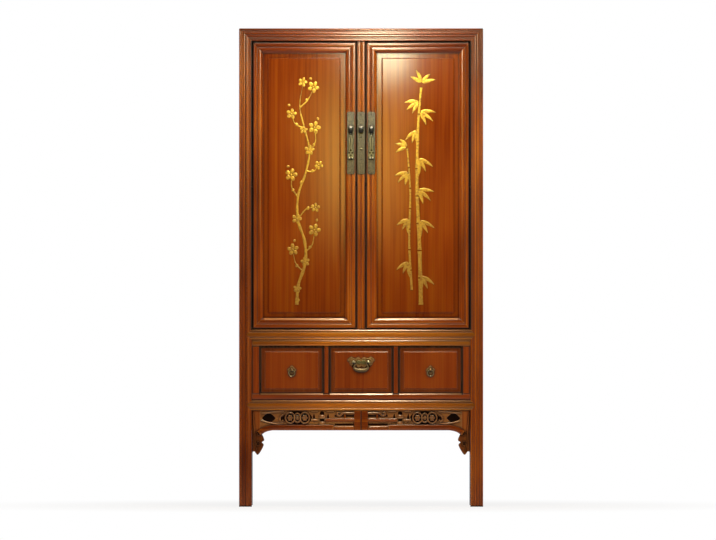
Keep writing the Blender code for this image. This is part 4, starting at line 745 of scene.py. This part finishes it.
for across, up, angles, length in bamboo["leaves"]:
    root = onPanel("right", [(across, up)])[0]
    share = np.linspace(0, 1, 18)
    early, full = bamboo["leafSwell"]        # the width is a power of the sine of a power of the share
    swell = np.maximum(np.sin(np.pi * share ** early) ** full, bamboo["leafTip"])
    for number, angle in enumerate(angles):        # every second leaf is shorter
        droop = math.copysign(bamboo["leafDroop"], -math.cos(math.radians(angle)))
        turn = math.radians(angle) + math.radians(droop) * share
        size = length * (1 - bamboo["shorter"] * (number % 2)) / 1000
        reach = size * (bamboo["leafStart"] + (1 - bamboo["leafStart"]) * share)
        line = root + reach[:, None] * np.stack([np.cos(turn), np.sin(turn)], -1)
        bambooShapes.append(stroke(line, bamboo["leafWidth"] / 1000 * swell, ornament["rise"],
                                   ornament["face"]))
makePiece("gilt_bamboo", bambooShapes, gilt, "door_right")
print("gilt ornament laid")


# carving on the apron: fret in the middle, stacked bowls, a three-lobed medallion and a leaf at each end

apron = {
    "face": -0.233, "foot": 0.313, "tall": 0.0048, "low": 0.0034, "medallion": 0.0060, "paintedShade": 0.0005,
    "spacing": 0.006,
    # each bar: millimetres out and up, half width, rise, squareness of its profile, steps of its curve
    "fret": [
        ([(14.8, 1), (14.8, 80.5)], 14.0, "tall", 0.45, 1),        # half of the middle upright
        ([(29, 8.6), (118, 8.6)], 8.2, "low", 0.8, 1),        # sunk stretch of the bottom bar
        ([(112, 12), (330, 12), (372, 9.5), (398, 2), (418, -12)], 11.0, "tall", 0.45, 6),        # bottom bar
        ([(28, 42), (146, 42)], 6.8, "low", 0.7, 1),        # middle bar
        ([(66, 48), (66, 66)], 4.0, "low", 0.45, 1),        # strut above it
    ],
    "ribs": [
        ([(28, 71), (72, 71), (80, 67), (86, 60), (94, 60), (99, 67), (96, 74), (90, 72)],
         4.4, "tall", 0.9, 6),        # top bar and its scroll
        ([(174, 42), (204, 42)], 5.0, "low", 0.45, 1),        # bar from the bowls to the medallion
        ([(112, 77), (142, 77)], 3.0, "low", 0.45, 1),        # short bars beside the upper bowl
        ([(178, 77), (204, 77)], 3.0, "low", 0.45, 1),
        ([(316, 77), (344, 76), (374, 73), (408, 70)], 3.4, "low", 0.7, 6),        # leaf edges
        ([(318, 30), (344, 27), (372, 30), (408, 40)], 3.4, "low", 0.7, 6),
        ([(320, 66), (332, 54), (334, 42), (326, 36), (320, 42)], 3.0, "low", 0.7, 6),
    ],
}
# the hollow is a disc of painted shade above each bowl
bowl = {"out": 160, "heights": (29, 56), "belly": (13.5, 8.0), "foot": (14.5, 3.6), "footDrop": 5,
        "footRise": 0.7, "hollow": (9.5, 8.0), "hollowUp": 14}
# the ground is an oval of painted shade behind the hoops
medallion = {"centre": (261, 51), "ground": (60, 28), "hoopWidth": 3.4,
             "hoops": ((231, (19, 22)), (261, (13, 18)), (291, (19, 22))),
             "rosette": 0.62, "petals": dict(lobes=6, lobeDepth=0.14, dish=0.6),
             "button": 3.4, "buttonRise": 0.9}


def onApron(side, points):
    # millimetres out from the middle and up from the apron's lower edge, to metres on the apron
    return np.array(points, float) / 1000 * np.array([side, 1]) + np.array([0, apron["foot"]])


def carvedBar(side, points, halfWidth, rise, square, steps):
    # raised bar along a line, with its rings spaced evenly
    line = smoothLine(onApron(side, points), steps)
    lengths = lengthAlong(line)
    places = np.linspace(0, lengths[-1], max(4, int(lengths[-1] / apron["spacing"])))
    return stroke(pointsAt(line, lengths, places), halfWidth / 1000, apron[rise], apron["face"],
                  square=square)


def carvedHoop(side, centre, radii, halfWidth, rise):
    # raised rim round an ellipse
    turn = fullTurn(48)
    rim = np.array(centre) + np.stack([radii[0] * np.cos(turn), radii[1] * np.sin(turn)], -1)
    return stroke(onApron(side, rim), halfWidth / 1000, rise, apron["face"], loop=True)


def carvedBoss(side, centre, radii, rise, **form):
    # boss of the given half sizes in millimetres
    return dome(onApron(side, [centre])[0], np.array(radii) / 1000, rise, apron["face"], **form)


fretShapes, carvingShapes, paintedShadeShapes = [], [], []
for side in (-1, 1):
    high, paintedShade = apron["medallion"], apron["paintedShade"]
    fretShapes += [carvedBar(side, *bar) for bar in apron["fret"]]
    carvingShapes += [carvedBar(side, *bar) for bar in apron["ribs"]]
    for up in bowl["heights"]:        # stacked bowls, each a half moon under a disc of painted shade
        out = bowl["out"]
        carvingShapes.append(carvedBoss(side, (out, up), bowl["belly"], high, sides=28))
        carvingShapes.append(carvedBoss(side, (out, up - bowl["footDrop"]), bowl["foot"],
                                        bowl["footRise"] * high, sides=28))
        paintedShadeShapes.append(carvedBoss(side, (out, up + bowl["hollowUp"]), bowl["hollow"], paintedShade, sides=24))
    # painted shade: a black oval behind the medallion
    paintedShadeShapes.append(carvedBoss(side, medallion["centre"], medallion["ground"], paintedShade, sides=48))
    for out, radii in medallion["hoops"]:        # three linked hoops and their rosettes
        spot = (out, medallion["centre"][1])
        carvingShapes.append(carvedHoop(side, spot, radii, medallion["hoopWidth"], high))
        carvingShapes.append(carvedBoss(side, spot, medallion["rosette"] * np.array(radii), high, sides=48,
                                        steps=10, **medallion["petals"]))
        carvingShapes.append(carvedBoss(side, spot, (medallion["button"], medallion["button"]),
                                        medallion["buttonRise"] * high, sides=14))
makePiece("apron_fret", fretShapes, carvedWood, "carcass")
makePiece("apron_carving", carvingShapes, carvedDusty, "carcass")
makePiece("apron_hollows", paintedShadeShapes, paintedShadeWood, "carcass")

# upper arrises of the rails round the drawers, polished by hands: a narrow strip whose face leans back
# more and more from its foot to its top, so that it catches light from above; bead and crown say how far
# back its top lies and how tall it is, on a beaded rail and on a crowned one
arris = {"lean": (42, 22), "steps": 7, "seat": 0.0012, "bead": (0.0013, 0.0042), "crown": (0.0062, 0.0056),
         "endGap": 0.001}
bevel = {"miter": 0.050, "depth": 0.0048, "drop": 0.0012, "tall": 0.0062, "seat": 0.0080}


def arrisStrip(left, right, edgeY, topZ, tall, seat):
    # the leaning line, closed behind by its seat, carried along X
    rise = np.full(arris["steps"], tall / arris["steps"])
    out = rise * np.tan(np.radians(np.linspace(*arris["lean"], arris["steps"])))
    y = edgeY - np.concatenate([[0], np.cumsum(out)])
    z = topZ - np.concatenate([[0], np.cumsum(rise)])
    y = np.concatenate([[edgeY + seat], y, [edgeY + seat]])
    z = np.concatenate([z[:1], z, z[-1:]])
    x = np.linspace(left, right, 12)[:, None]
    return ringSkin(np.stack(np.broadcast_arrays(x, y[None], z[None]), -1))


strips = []
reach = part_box("drawer_frame_top")[1][0] - arris["endGap"]
for node, edge in (("middle_rail_front", "bead"), ("lower_rail_front", "bead"),
                   ("drawer_frame_top", "crown")):
    depth, tall = arris[edge]
    strips.append(arrisStrip(-reach, reach, frameFront + depth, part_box(node)[1][2], tall, arris["seat"]))
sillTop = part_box("drawer_frame_bottom")[1][2]
for name in drawerNames:
    low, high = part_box(f"drawer_{name}_front")
    depth, tall = arris["crown"]
    strips.append(arrisStrip(low[0], high[0], frameFront + depth, sillTop, tall, arris["seat"]))
makePiece("polished_arrises", strips, arrisWood, "carcass")
for name in sideNames:        # the bevel of each door's bottom rail, below its panel
    low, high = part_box(f"door_{name}_bottom_rail")
    strip = arrisStrip(low[0] + bevel["miter"], high[0] - bevel["miter"], low[1] + bevel["depth"],
                       high[2] - bevel["drop"], bevel["tall"], bevel["seat"])
    makePiece(f"door_{name}_bevel", [strip], bevelWood, f"door_{name}")

# scrolls cut on the spandrels: a stem down the post with a curl in each of its two lobes
spandrel = {"stem": [(5, 74), (8, 30), (12, -10), (14, -52), (20, -84)], "stemWidth": 3.4, "rise": 0.0034,
            "curls": [((27, -14), 11, 0.9), ((24, -56), 11, 0.6)], "curlWidth": 2.6, "turns": 1.4,
            "shrink": 0.8, "swellAt": (0, 0.3, 1), "swell": (0.6, 1, 0.4)}
spandrelLines = [(smoothLine(spandrel["stem"], 8), spandrel["stemWidth"])]
share = np.linspace(0, 1, 40)
for centre, reach, start in spandrel["curls"]:        # a curl's reach shrinks evenly as it turns
    turn = math.pi * start - share * spandrel["turns"] * 2 * math.pi
    reaches = reach * (1 - spandrel["shrink"] * share)
    curl = np.array(centre) + reaches[:, None] * np.stack([np.cos(turn), np.sin(turn)], -1)
    spandrelLines.append((curl, spandrel["curlWidth"]))
for name, side in zip(sideNames, (-1, 1)):
    low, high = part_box(f"spandrel_{name}")
    outer = low[0] if side < 0 else high[0]
    ribs = []
    for line, wide in spandrelLines:
        placed = line / 1000 * np.array([-side, 1]) + np.array([outer, apron["foot"]])
        width = wide / 1000 * swelling(len(line), spandrel["swellAt"], spandrel["swell"])
        ribs.append(stroke(placed, width, spandrel["rise"], apron["face"]))
    makePiece(f"spandrel_carving_{name}", ribs, bracketWood, "carcass")
print("apron carved")


# lock plates, eyes and pendants

lock = {
    "wide": 0.031, "high": 0.254, "thick": 0.002, "edge": 0.0006, "crown": 0.0003, "notch": 0.004,
    "middle": 1.490, "eyeAt": (-0.249, 1.547),
    "eyeOuter": 0.0119, "eyeTall": 1.45, "eyeHole": 0.0046, "eyeWide": 0.0190, "eyeSquare": 0.8,
    "pin": (0.0105, 0.0125), "pinPlay": 0.0006,
    "stapleAt": 1.527, "stapleSpan": 0.012, "stapleSeat": 0.0008, "stapleBend": (0.0018, 0.0022),
    "barOut": 0.0060, "bar": 0.0015,
    "nail": 0.0032, "nailsUp": (-0.117, -0.066, 0.024, 0.117), "bead": 0.0054, "beadUp": -0.024,
}
# radius and height of a nail head's rings, as shares of its radius and rise
nailForm = {"rise": 0.55, "sink": 0.0004, "crown": [(1, 0.15), (0.88, 0.55), (0.55, 0.88), (0.02, 1)]}


def notchedOutline(wide, high, notch, step=0.003):
    # oblong with cut corners, walked counterclockwise at an even step, without points that nearly meet
    x, z = wide / 2, high / 2
    corners = np.array([(x, z - notch), (x - notch, z), (notch - x, z), (-x, z - notch), (-x, notch - z),
                        (notch - x, -z), (x - notch, -z), (x, notch - z), (x, z - notch)])
    lengths = lengthAlong(corners)
    places = np.unique(np.concatenate([lengths[:-1], np.arange(0, lengths[-1], step)]))
    places = places[np.diff(places, append=lengths[-1]) > 0.1 * step]
    return pointsAt(corners, lengths, places)


def nailHead(centre, radius):
    # low turned dome on a short straight rim
    crown = [(share * radius, height * nailForm["rise"] * radius) for share, height in nailForm["crown"]]
    base = [(crown[-1][0], -nailForm["sink"]), (radius, -nailForm["sink"])]
    return turned(centre, base + crown, 14)


plateOutline = notchedOutline(lock["wide"], lock["high"], lock["notch"])
for name, body in (("left", "door_left"), ("centre", "mullion"), ("right", "door_right")):
    node = f"lock_plate_{name}"
    low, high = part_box(node)
    middleX, back = (low[0] + high[0]) / 2, high[1]
    face = back - lock["thick"]
    eyeY, eyeZ = lock["eyeAt"]
    pinRise = face - eyeY - lock["eyeHole"] - lock["pinPlay"]
    shapes = [sheet(plateOutline, (middleX, lock["middle"]), back, lock["thick"], lock["edge"],
                    lock["crown"]),
              dome((middleX, eyeZ), lock["pin"], pinRise, face, sides=28)]
    for up in lock["nailsUp"]:
        shapes.append(nailHead((middleX, face, lock["middle"] + up), lock["nail"]))
    if name == "centre":
        radius = lock["bead"]
        bead = dome((middleX, lock["middle"] + lock["beadUp"]), (radius, radius), radius, face)
        makePiece("brass_lock_bead", [bead], knobBrass, body)
    else:        # staple below the eye, the bar that a pendant hangs from
        half, bar = lock["stapleSpan"] / 2, face - lock["barOut"]
        inward, outward = lock["stapleBend"]
        seat = face + lock["stapleSeat"]
        route = smoothLine([(-half, seat), (-half, bar + outward), (-half + inward, bar),
                            (half - inward, bar), (half, bar + outward), (half, seat)], 5)
        path = np.stack([middleX + route[:, 0], route[:, 1], np.full(len(route), lock["stapleAt"])], -1)
        shapes.append(wire(path, lock["bar"], (0, 0, 1)))
    makePiece(f"brass_{node}", shapes, plateBrass, body, [node], flat=True)
    lockEye = eye((middleX, eyeY, eyeZ), lock["eyeOuter"], lock["eyeHole"], lock["eyeWide"],
                  lock["eyeSquare"], sides=24, tall=lock["eyeTall"])
    makePiece(f"brass_lock_eye_{name}", [lockEye], eyeBrass, body)

pendant = {
    "length": 0.106, "thick": 0.0024, "edge": 0.0008,
    "eyelet": 0.0042, "eyeletWide": 0.006, "eyeletSquare": 0.7, "bore": 0.0019,
    # half width at some shares of the length: neck, shoulder, waist and foot
    "halfWidths": [(0.0032, 0.12), (0.0085, 0.22), (0.0045, 0.52), (0.0115, 0.76)],
    "lobeShare": 0.95, "lobeRise": 0.0050,
    "rib": (-0.010, -0.062), "ribRise": 0.0022,
    "ribSwellAt": (0, 0.25, 1), "ribSwell": (0.0010, 0.0030, 0.0010),
    "hole": 0.0034, "holeStep": (0.0062, 0.0104), "holesAt": 0.725,
    "pitDepth": 0.0003, "pitThick": 0.0012, "pitSeat": 0.0008,
}


def piercedSheet(loops, place, thick, edge):
    # sheet with holes: a filled flat curve given its thickness and rounded edges, taken as triangles
    flat = bpy.data.curves.new("flat", "CURVE")
    flat.dimensions = "2D"
    flat.fill_mode = "BOTH"
    flat.extrude = thick / 2 - edge
    flat.bevel_depth = edge
    flat.bevel_resolution = 1
    for loop in loops:
        spline = flat.splines.new("POLY")
        spline.points.add(len(loop) - 1)
        places = np.column_stack([loop, np.zeros(len(loop)), np.ones(len(loop))])
        spline.points.foreach_set("co", places.ravel())
        spline.use_cyclic_u = True
    holder = bpy.data.objects.new("flat", flat)
    scene.collection.objects.link(holder)
    mesh = bpy.data.meshes.new_from_object(holder.evaluated_get(bpy.context.evaluated_depsgraph_get()))
    bpy.data.objects.remove(holder)
    points = np.zeros(len(mesh.vertices) * 3)
    mesh.vertices.foreach_get("co", points)
    points = points.reshape(-1, 3)
    mesh.calc_loop_triangles()
    fans = np.zeros(len(mesh.loop_triangles) * 3, int)
    mesh.loop_triangles.foreach_get("vertices", fans)
    bpy.data.meshes.remove(mesh)
    placed = np.stack([points[:, 0], -points[:, 2], points[:, 1]], -1) + np.array(place)
    return placed, np.zeros((0, 4), int), fans.reshape(-1, 3)


def arcPoints(centre, radius, start, end, steps):
    # points of a circle from one angle to another, in degrees
    turn = np.radians(np.linspace(start, end, steps))
    return np.array(centre) + radius * np.stack([np.cos(turn), np.sin(turn)], -1)


length, eyelet = pendant["length"], pendant["eyelet"]
neck, foot = pendant["halfWidths"][0][0], pendant["halfWidths"][-1][0]
lobe = foot / 2
lobeZ = lobe - length
rightEdge = smoothLine([(neck, -eyelet), *((wide, -share * length) for wide, share in pendant["halfWidths"]),
                        (foot, lobeZ)], 8)
rightEdge = np.concatenate([rightEdge, arcPoints((lobe, lobeZ), lobe, 0, -176, 12)[1:]])
pendantOutline = np.concatenate([rightEdge, rightEdge[::-1] * np.array([-1, 1])])
stepX, stepZ = pendant["holeStep"]
holesZ = -pendant["holesAt"] * length
holeSpots = [(0, holesZ + stepZ), (0, holesZ - stepZ), (-stepX, holesZ), (stepX, holesZ)]
pendantHoles = [arcPoints(spot, pendant["hole"], 0, 342, 20) for spot in holeSpots]
pitReach, pitThick = pendant["hole"] + pendant["pitSeat"], pendant["pitThick"]
pitProfile = [(0.02 * pitReach, -pitThick), (pitReach, -pitThick), (pitReach, 0), (0.02 * pitReach, 0)]
for name in sideNames:
    node = f"pendant_{name}"
    low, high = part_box(node)
    x, y, z = (low[0] + high[0]) / 2, (low[1] + high[1]) / 2, high[2] - eyelet        # middle of the eyelet
    face = y - pendant["thick"] / 2
    lobeSize = (pendant["lobeShare"] * lobe, pendant["lobeShare"] * lobe)
    lobes = [dome((x + side * lobe, z + lobeZ), lobeSize, pendant["lobeRise"], face, sides=20)
             for side in (-1, 1)]
    makePiece(f"{node}_lobes", lobes, lobeBrass, node)
    ribTop, ribFoot = pendant["rib"]
    rib = np.stack([np.full(20, x), np.linspace(z + ribTop, z + ribFoot, 20)], -1)
    shapes = [piercedSheet([pendantOutline, *pendantHoles], (x, y, z), pendant["thick"], pendant["edge"]),
              stroke(rib, swelling(20, pendant["ribSwellAt"], pendant["ribSwell"]), pendant["ribRise"], face),
              eye((x, y, z), eyelet, pendant["bore"], pendant["eyeletWide"], pendant["eyeletSquare"],
                  sides=14)]
    makePiece(f"brass_{node}", shapes, pendantBrass, node, [node], flat=True)
    pitFace = face - pendant["pitDepth"]        # painted shade: black discs close the piercings
    pits = [turned((x + spotX, pitFace, z + spotZ), pitProfile) for spotX, spotZ in holeSpots]
    makePiece(f"{node}_pits", pits, paintedShadeWood, node)
print("lock set made")


# drawer pulls

pull = {
    "thick": 0.0015, "edge": 0.0005, "crown": 0.0006, "at": 0.591, "wide": 0.112, "high": 0.046,
    # right half of the plate's outline, as shares of its half width and half height
    "wing": [(0, 0.55), (0.20, 0.95), (0.45, 0.70), (0.72, 1), (1, 0.45), (0.86, 0), (0.74, -0.55),
             (0.42, -0.60), (0.22, -1), (0, -0.62)],
    "postX": 0.030, "knob": 0.0056, "knobOut": 0.011, "knobSwell": (-50, 89),
    "stem": [(0.0001, -0.0004), (0.0078, -0.0004), (0.0078, 0.0010), (0.0066, 0.0018)], "stemTop": 0.0024,
    # hollow: half sizes of the painted shadow under each knob, its drop and its rise
    "hollow": (0.0070, 0.0056), "hollowDrop": 0.0140, "hollowRise": 0.0007,
    "scroll": [(0.014, 0.603), (0.022, 0.606), (0.036, 0.604), (0.043, 0.599), (0.044, 0.592)],
    "scrollSwellAt": (0, 0.4, 1), "scrollSwell": (0.0006, 0.0019, 0.0008), "scrollRise": 0.0013,
    "boss": (0.0105, 0.0085), "bossX": 0.010, "bossUp": 0.001, "bossRise": 0.0026,
    "bossForm": dict(lobes=5, lobeDepth=0.12, dish=0.4),
    "pinOut": 0.009, "pin": 0.0022, "grip": 0.0080, "gripFlat": 0.55,
    # right half of the bail in millimetres: an omega that turns in at the post and swells below
    "bail": [(26, 0), (23, -0.5), (21.4, -3), (22, -8), (26.5, -13), (28.5, -19), (25, -26), (15, -31.5),
             (0, -33)],
}
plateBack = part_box("bail_plate")[1][1]
plateFace = plateBack - pull["thick"]
wing = smoothLine(np.array(pull["wing"]) * np.array([pull["wide"] / 2, pull["high"] / 2]), 7)
batOutline = np.concatenate([wing, wing[-2:0:-1] * np.array([-1, 1])])[::-1]
shapes = [sheet(batOutline, (0, pull["at"]), plateBack, pull["thick"], pull["edge"], pull["crown"])]
# a ball on a short stem, its radius the cosine of the climb
climb = np.radians(np.linspace(*pull["knobSwell"], 14))
ball = np.stack([pull["knob"] * np.cos(climb), pull["knobOut"] + pull["knob"] * np.sin(climb)], -1)
knobProfile = [*pull["stem"], (ball[0, 0], pull["stemTop"]), *ball]
knobs, knobShadows, bosses = [], [], []
for side in (-1, 1):
    postX = side * pull["postX"]
    knobs.append(turned((postX, plateFace, pull["at"]), knobProfile, 24))
    # painted shadow on the plate under each knob
    knobShadows.append(dome((postX, pull["at"] - pull["hollowDrop"]), pull["hollow"], pull["hollowRise"],
                        plateFace))
    scroll = smoothLine(np.array(pull["scroll"]) * np.array([side, 1]), 6)
    width = swelling(len(scroll), pull["scrollSwellAt"], pull["scrollSwell"])
    shapes.append(stroke(scroll, width, pull["scrollRise"], plateFace))
    bosses.append(dome((side * pull["bossX"], pull["at"] + pull["bossUp"]), pull["boss"], pull["bossRise"],
                       plateFace, sides=40, **pull["bossForm"]))
makePiece("brass_bail_plate", shapes, bronzeBrass, "drawer_middle", ["bail_plate"])
makePiece("brass_bail_knobs", knobs, knobBrass, "drawer_middle")
makePiece("brass_bail_boss", bosses, oliveBrass, "drawer_middle")
makePiece("bail_plate_hollows", knobShadows, paintedShadeWood, "drawer_middle")

half = smoothLine(np.array(pull["bail"]) / 1000, 8)
route = np.concatenate([half, half[-2::-1] * np.array([-1, 1])])
path = np.stack([route[:, 0], np.full(len(route), plateFace - pull["pinOut"]), pull["at"] + route[:, 1]], -1)
drop = np.clip(route[:, 1] / route[:, 1].min(), 0, 1)        # the grip thickens with the square of the drop
grip = pull["pin"] + (pull["grip"] - pull["pin"]) * drop ** 2
bail = wire(path, grip, (0, 1, 0), pull["gripFlat"], sides=20)
makePiece("brass_bail", [bail], bailBrass, "bail", ["bail"])

ringPull = {
    "plate": 0.0155, "lobe": 0.0025, "thick": 0.0015, "edge": 0.0005, "crown": 0.0004, "at": 0.560,
    "line": 0.0108, "lineWidth": 0.0011, "lineRise": 0.0010, "dome": (0.0050, 0.0066), "domeRise": 0.0022,
    "eyeOut": 0.0062, "eye": 0.0064, "eyeBore": 0.0030, "eyeWide": 0.006, "eyeSquare": 0.65,
    "ring": 0.0125, "wire": 0.0020,
}
turn = fullTurn(64)
circle = np.stack([np.cos(turn), np.sin(turn)], -1)
lobedOutline = (ringPull["plate"] + ringPull["lobe"] * np.cos(4 * turn))[:, None] * circle
for name in sideNames:
    node = f"ring_plate_{name}"
    low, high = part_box(node)
    middleX, back = (low[0] + high[0]) / 2, high[1]
    face = back - ringPull["thick"]
    middle = (middleX, ringPull["at"])
    shapes = [sheet(lobedOutline, middle, back, ringPull["thick"], ringPull["edge"], ringPull["crown"]),
              stroke(middle + ringPull["line"] * circle, ringPull["lineWidth"], ringPull["lineRise"], face,
                     loop=True),
              eye((middleX, face - ringPull["eyeOut"], ringPull["at"]), ringPull["eye"], ringPull["eyeBore"],
                  ringPull["eyeWide"], ringPull["eyeSquare"], sides=16),
              dome(middle, ringPull["dome"], ringPull["domeRise"], face, sides=24)]
    makePiece(f"brass_{node}", shapes, bronzeBrass, f"drawer_{name}", [node])
    low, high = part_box(f"ring_{name}")
    ringXZ = (middleX, (low[2] + high[2]) / 2) + ringPull["ring"] * circle
    ringPath = np.insert(ringXZ, 1, (low[1] + high[1]) / 2, axis=1)
    ring = wire(ringPath, ringPull["wire"], (0, 1, 0), sides=14, loop=True)
    makePiece(f"brass_ring_{name}", [ring], rubbedBrass, f"ring_{name}", [f"ring_{name}"])
print("pulls made")


# floor, light and camera

stage = {"floorHalf": 3.4, "floorColour": "#f4f3f1", "floorRoughness": 0.9, "paperWhite": 0.86,
         "shadowFrom": 0.6, "shadowReach": 2.0, "ambient": 0.22, "ambientTint": "#ffeedd", "roomLevel": 0.04,
         "roomRange": (0.35, 0.95)}

floorMesh = bpy.data.meshes.new("floor")
corner = stage["floorHalf"]
corners = [(-corner, -corner, 0), (corner, -corner, 0), (corner, corner, 0), (-corner, corner, 0)]
floorMesh.from_pydata(corners, [], [(0, 1, 2, 3)])
floor = bpy.data.objects.new("floor", floorMesh)
scene.collection.objects.link(floor)
paper, tree, shader, coords = newMaterial("matt white studio paper")        # dull and even, keeps the shadow
shader.inputs["Base Color"].default_value = linear(stage["floorColour"])
shader.inputs["Roughness"].default_value = stage["floorRoughness"]
shader.inputs["Specular IOR Level"].default_value = 0.0
reach = addNode(tree, "ShaderNodeVectorMath", {0: coords["Object"]}, operation="LENGTH").outputs["Value"]
fade = addNode(tree, "ShaderNodeMapRange", {"Value": reach, "From Min": stage["shadowFrom"],
                                            "From Max": stage["shadowReach"], "To Min": stage["paperWhite"]},
               interpolation_type="SMOOTHSTEP")
rays = addNode(tree, "ShaderNodeLightPath").outputs
seen = addNode(tree, "ShaderNodeMath", {0: rays["Is Camera Ray"], 1: rays["Is Glossy Ray"]},
               operation="MAXIMUM")
seen = addNode(tree, "ShaderNodeMath", {0: seen, 1: rays["Is Transmission Ray"]}, operation="MAXIMUM")
white = addNode(tree, "ShaderNodeMath", {0: seen, 1: fade}, operation="MULTIPLY")
glow = addNode(tree, "ShaderNodeEmission", {"Color": (1, 1, 1, 1), "Strength": 1.0})
blend = addNode(tree, "ShaderNodeMixShader", {0: white, 1: shader, 2: glow})
setInputs(tree, tree.nodes["Material Output"], {"Surface": blend})
floorMesh.materials.append(paper)

# the room is white to the eye, dim and warm as light, and dark in mirrors except behind the object
world = bpy.data.worlds.new("white studio")
world.use_nodes = True
scene.world = world
tree = world.node_tree
rays = addNode(tree, "ShaderNodeLightPath").outputs
mirrored = addNode(tree, "ShaderNodeMath", {0: rays["Is Glossy Ray"], 1: rays["Is Transmission Ray"]},
                   operation="MAXIMUM")
direction = addNode(tree, "ShaderNodeTexCoord").outputs["Generated"]
depth = addNode(tree, "ShaderNodeSeparateXYZ", {0: direction}).outputs["Y"]
room = addNode(tree, "ShaderNodeMapRange", {"Value": depth, "To Min": stage["roomLevel"], "To Max": 1.0,
                                            "From Min": stage["roomRange"][0],
                                            "From Max": stage["roomRange"][1]})
level = addNode(tree, "ShaderNodeMix", {0: mirrored, 2: stage["ambient"], 3: room})
level = addNode(tree, "ShaderNodeMix", {0: rays["Is Camera Ray"], 2: level, 3: 1.0})
tint = addNode(tree, "ShaderNodeMix", {mixFactor: rays["Is Diffuse Ray"], mixA: (1, 1, 1, 1),
                                       mixB: linear(stage["ambientTint"])}, data_type="RGBA")
setInputs(tree, tree.nodes["Background"], {"Color": tint, "Strength": level})

# each lamp: its place, the point it faces, its width and height, the radiance of its face and its colour;
# a gleam shows only in the gloss, and the front lamp doesn't show there
lamps = {
    "overhead box": dict(at=(0.06, -0.95, 3.00), to=(0.05, -0.25, 0.9), wide=0.40, high=0.90, radiance=17,
                         colour="#fff2e0"),
    "front lamp": dict(at=(0.08, -1.70, 1.95), to=(0.05, -0.24, 1.45), wide=0.30, high=0.30, radiance=26,
                       colour="#ffe2b8", glossy=False),
    "left fill": dict(at=(-2.2, -2.4, 1.4), to=(0, 0, 1.0), wide=0.7, high=2.2, radiance=1.6,
                      colour="#ffdeb2"),
    "right fill": dict(at=(2.2, -2.4, 1.4), to=(0, 0, 1.0), wide=0.7, high=2.2, radiance=2.3,
                       colour="#ffdeb2"),
    "window gleam": dict(at=(0.09, -1.60, 1.91), to=(0.09, -0.24, 1.87), wide=0.36, high=0.42, radiance=58,
                         colour="#e4ffee", diffuse=False, fade=0.5),
    "room gleam": dict(at=(-0.01, -1.60, 1.46), to=(-0.01, -0.24, 1.46), wide=0.60, high=1.10, radiance=9.5,
                       colour="#ffee80", diffuse=False, fade=0.5),
    "ceiling gleam": dict(at=(0.05, -1.45, 2.90), to=(0.05, -0.24, 0.8), wide=0.7, high=0.8, radiance=40,
                          colour="#fff0dc", diffuse=False, fade=0.35),
    "rail gleam": dict(at=(0.06, -1.50, 2.38), to=(0.06, -0.24, 1.94), wide=0.36, high=0.95, radiance=72,
                       colour="#f8fff0", diffuse=False, fade=0.35),
    "side gleam": dict(at=(-0.85, -0.75, 1.84), to=(-0.45, -0.24, 1.84), wide=0.15, high=0.26, radiance=10,
                       colour="#ffe8e0", diffuse=False, fade=0.4),
}
for name, lamp in lamps.items():
    light = bpy.data.lights.new(name, "AREA")
    light.shape = "RECTANGLE"
    light.size = lamp["wide"]
    light.size_y = lamp["high"]
    light.color = linear(lamp["colour"])[:3]
    light.energy = lamp["radiance"] * math.pi * lamp["wide"] * lamp["high"]
    if "fade" in lamp:        # light falls off smoothly towards the lamp's four sides
        light.use_nodes = True
        tree = light.node_tree
        spot = addNode(tree, "ShaderNodeNewGeometry").outputs["Parametric"]
        axes = addNode(tree, "ShaderNodeSeparateXYZ", {0: spot}).outputs
        shares = []
        for axis in ("X", "Y"):
            off = addNode(tree, "ShaderNodeMath", {0: axes[axis], 1: 0.5}, operation="SUBTRACT")
            off = addNode(tree, "ShaderNodeMath", {0: off}, operation="ABSOLUTE")
            shares.append(addNode(tree, "ShaderNodeMapRange", {"Value": off, "From Min": 0.5,
                                                               "From Max": 0.5 - lamp["fade"]},
                                  interpolation_type="SMOOTHSTEP"))
        share = addNode(tree, "ShaderNodeMath", {0: shares[0], 1: shares[1]}, operation="MULTIPLY")
        setInputs(tree, tree.nodes["Emission"], {"Strength": share})
    holder = bpy.data.objects.new(name, light)
    scene.collection.objects.link(holder)
    toward = np.array(lamp["to"]) - np.array(lamp["at"])
    holder.location = lamp["at"]
    tip = math.acos(-toward[2] / np.linalg.norm(toward))
    holder.rotation_euler = (tip, 0, math.atan2(-toward[0], toward[1]))
    holder.visible_camera = False
    holder.visible_diffuse = lamp.get("diffuse", True)
    holder.visible_glossy = lamp.get("glossy", True)

# the picture: 716 px wide, 4.097 mm a pixel at the frame's front, the cabinet 3.1 px right of its middle
picture = {"width": 716, "pixelSize": 0.004097, "distance": 60.0, "middle": (-0.0127, 0.970), "sensor": 36.0,
           "clipEnd": 200}
cameraData = bpy.data.cameras.new("camera")
cameraData.sensor_width = picture["sensor"]
cameraData.lens = picture["sensor"] * picture["distance"] / (picture["width"] * picture["pixelSize"])
cameraData.clip_end = picture["clipEnd"]
camera = bpy.data.objects.new("camera", cameraData)
scene.collection.objects.link(camera)
camera.location = (picture["middle"][0], frameFront - picture["distance"], picture["middle"][1])
camera.rotation_euler = (math.pi / 2, 0, 0)
scene.camera = camera
print("floor, light and camera placed")
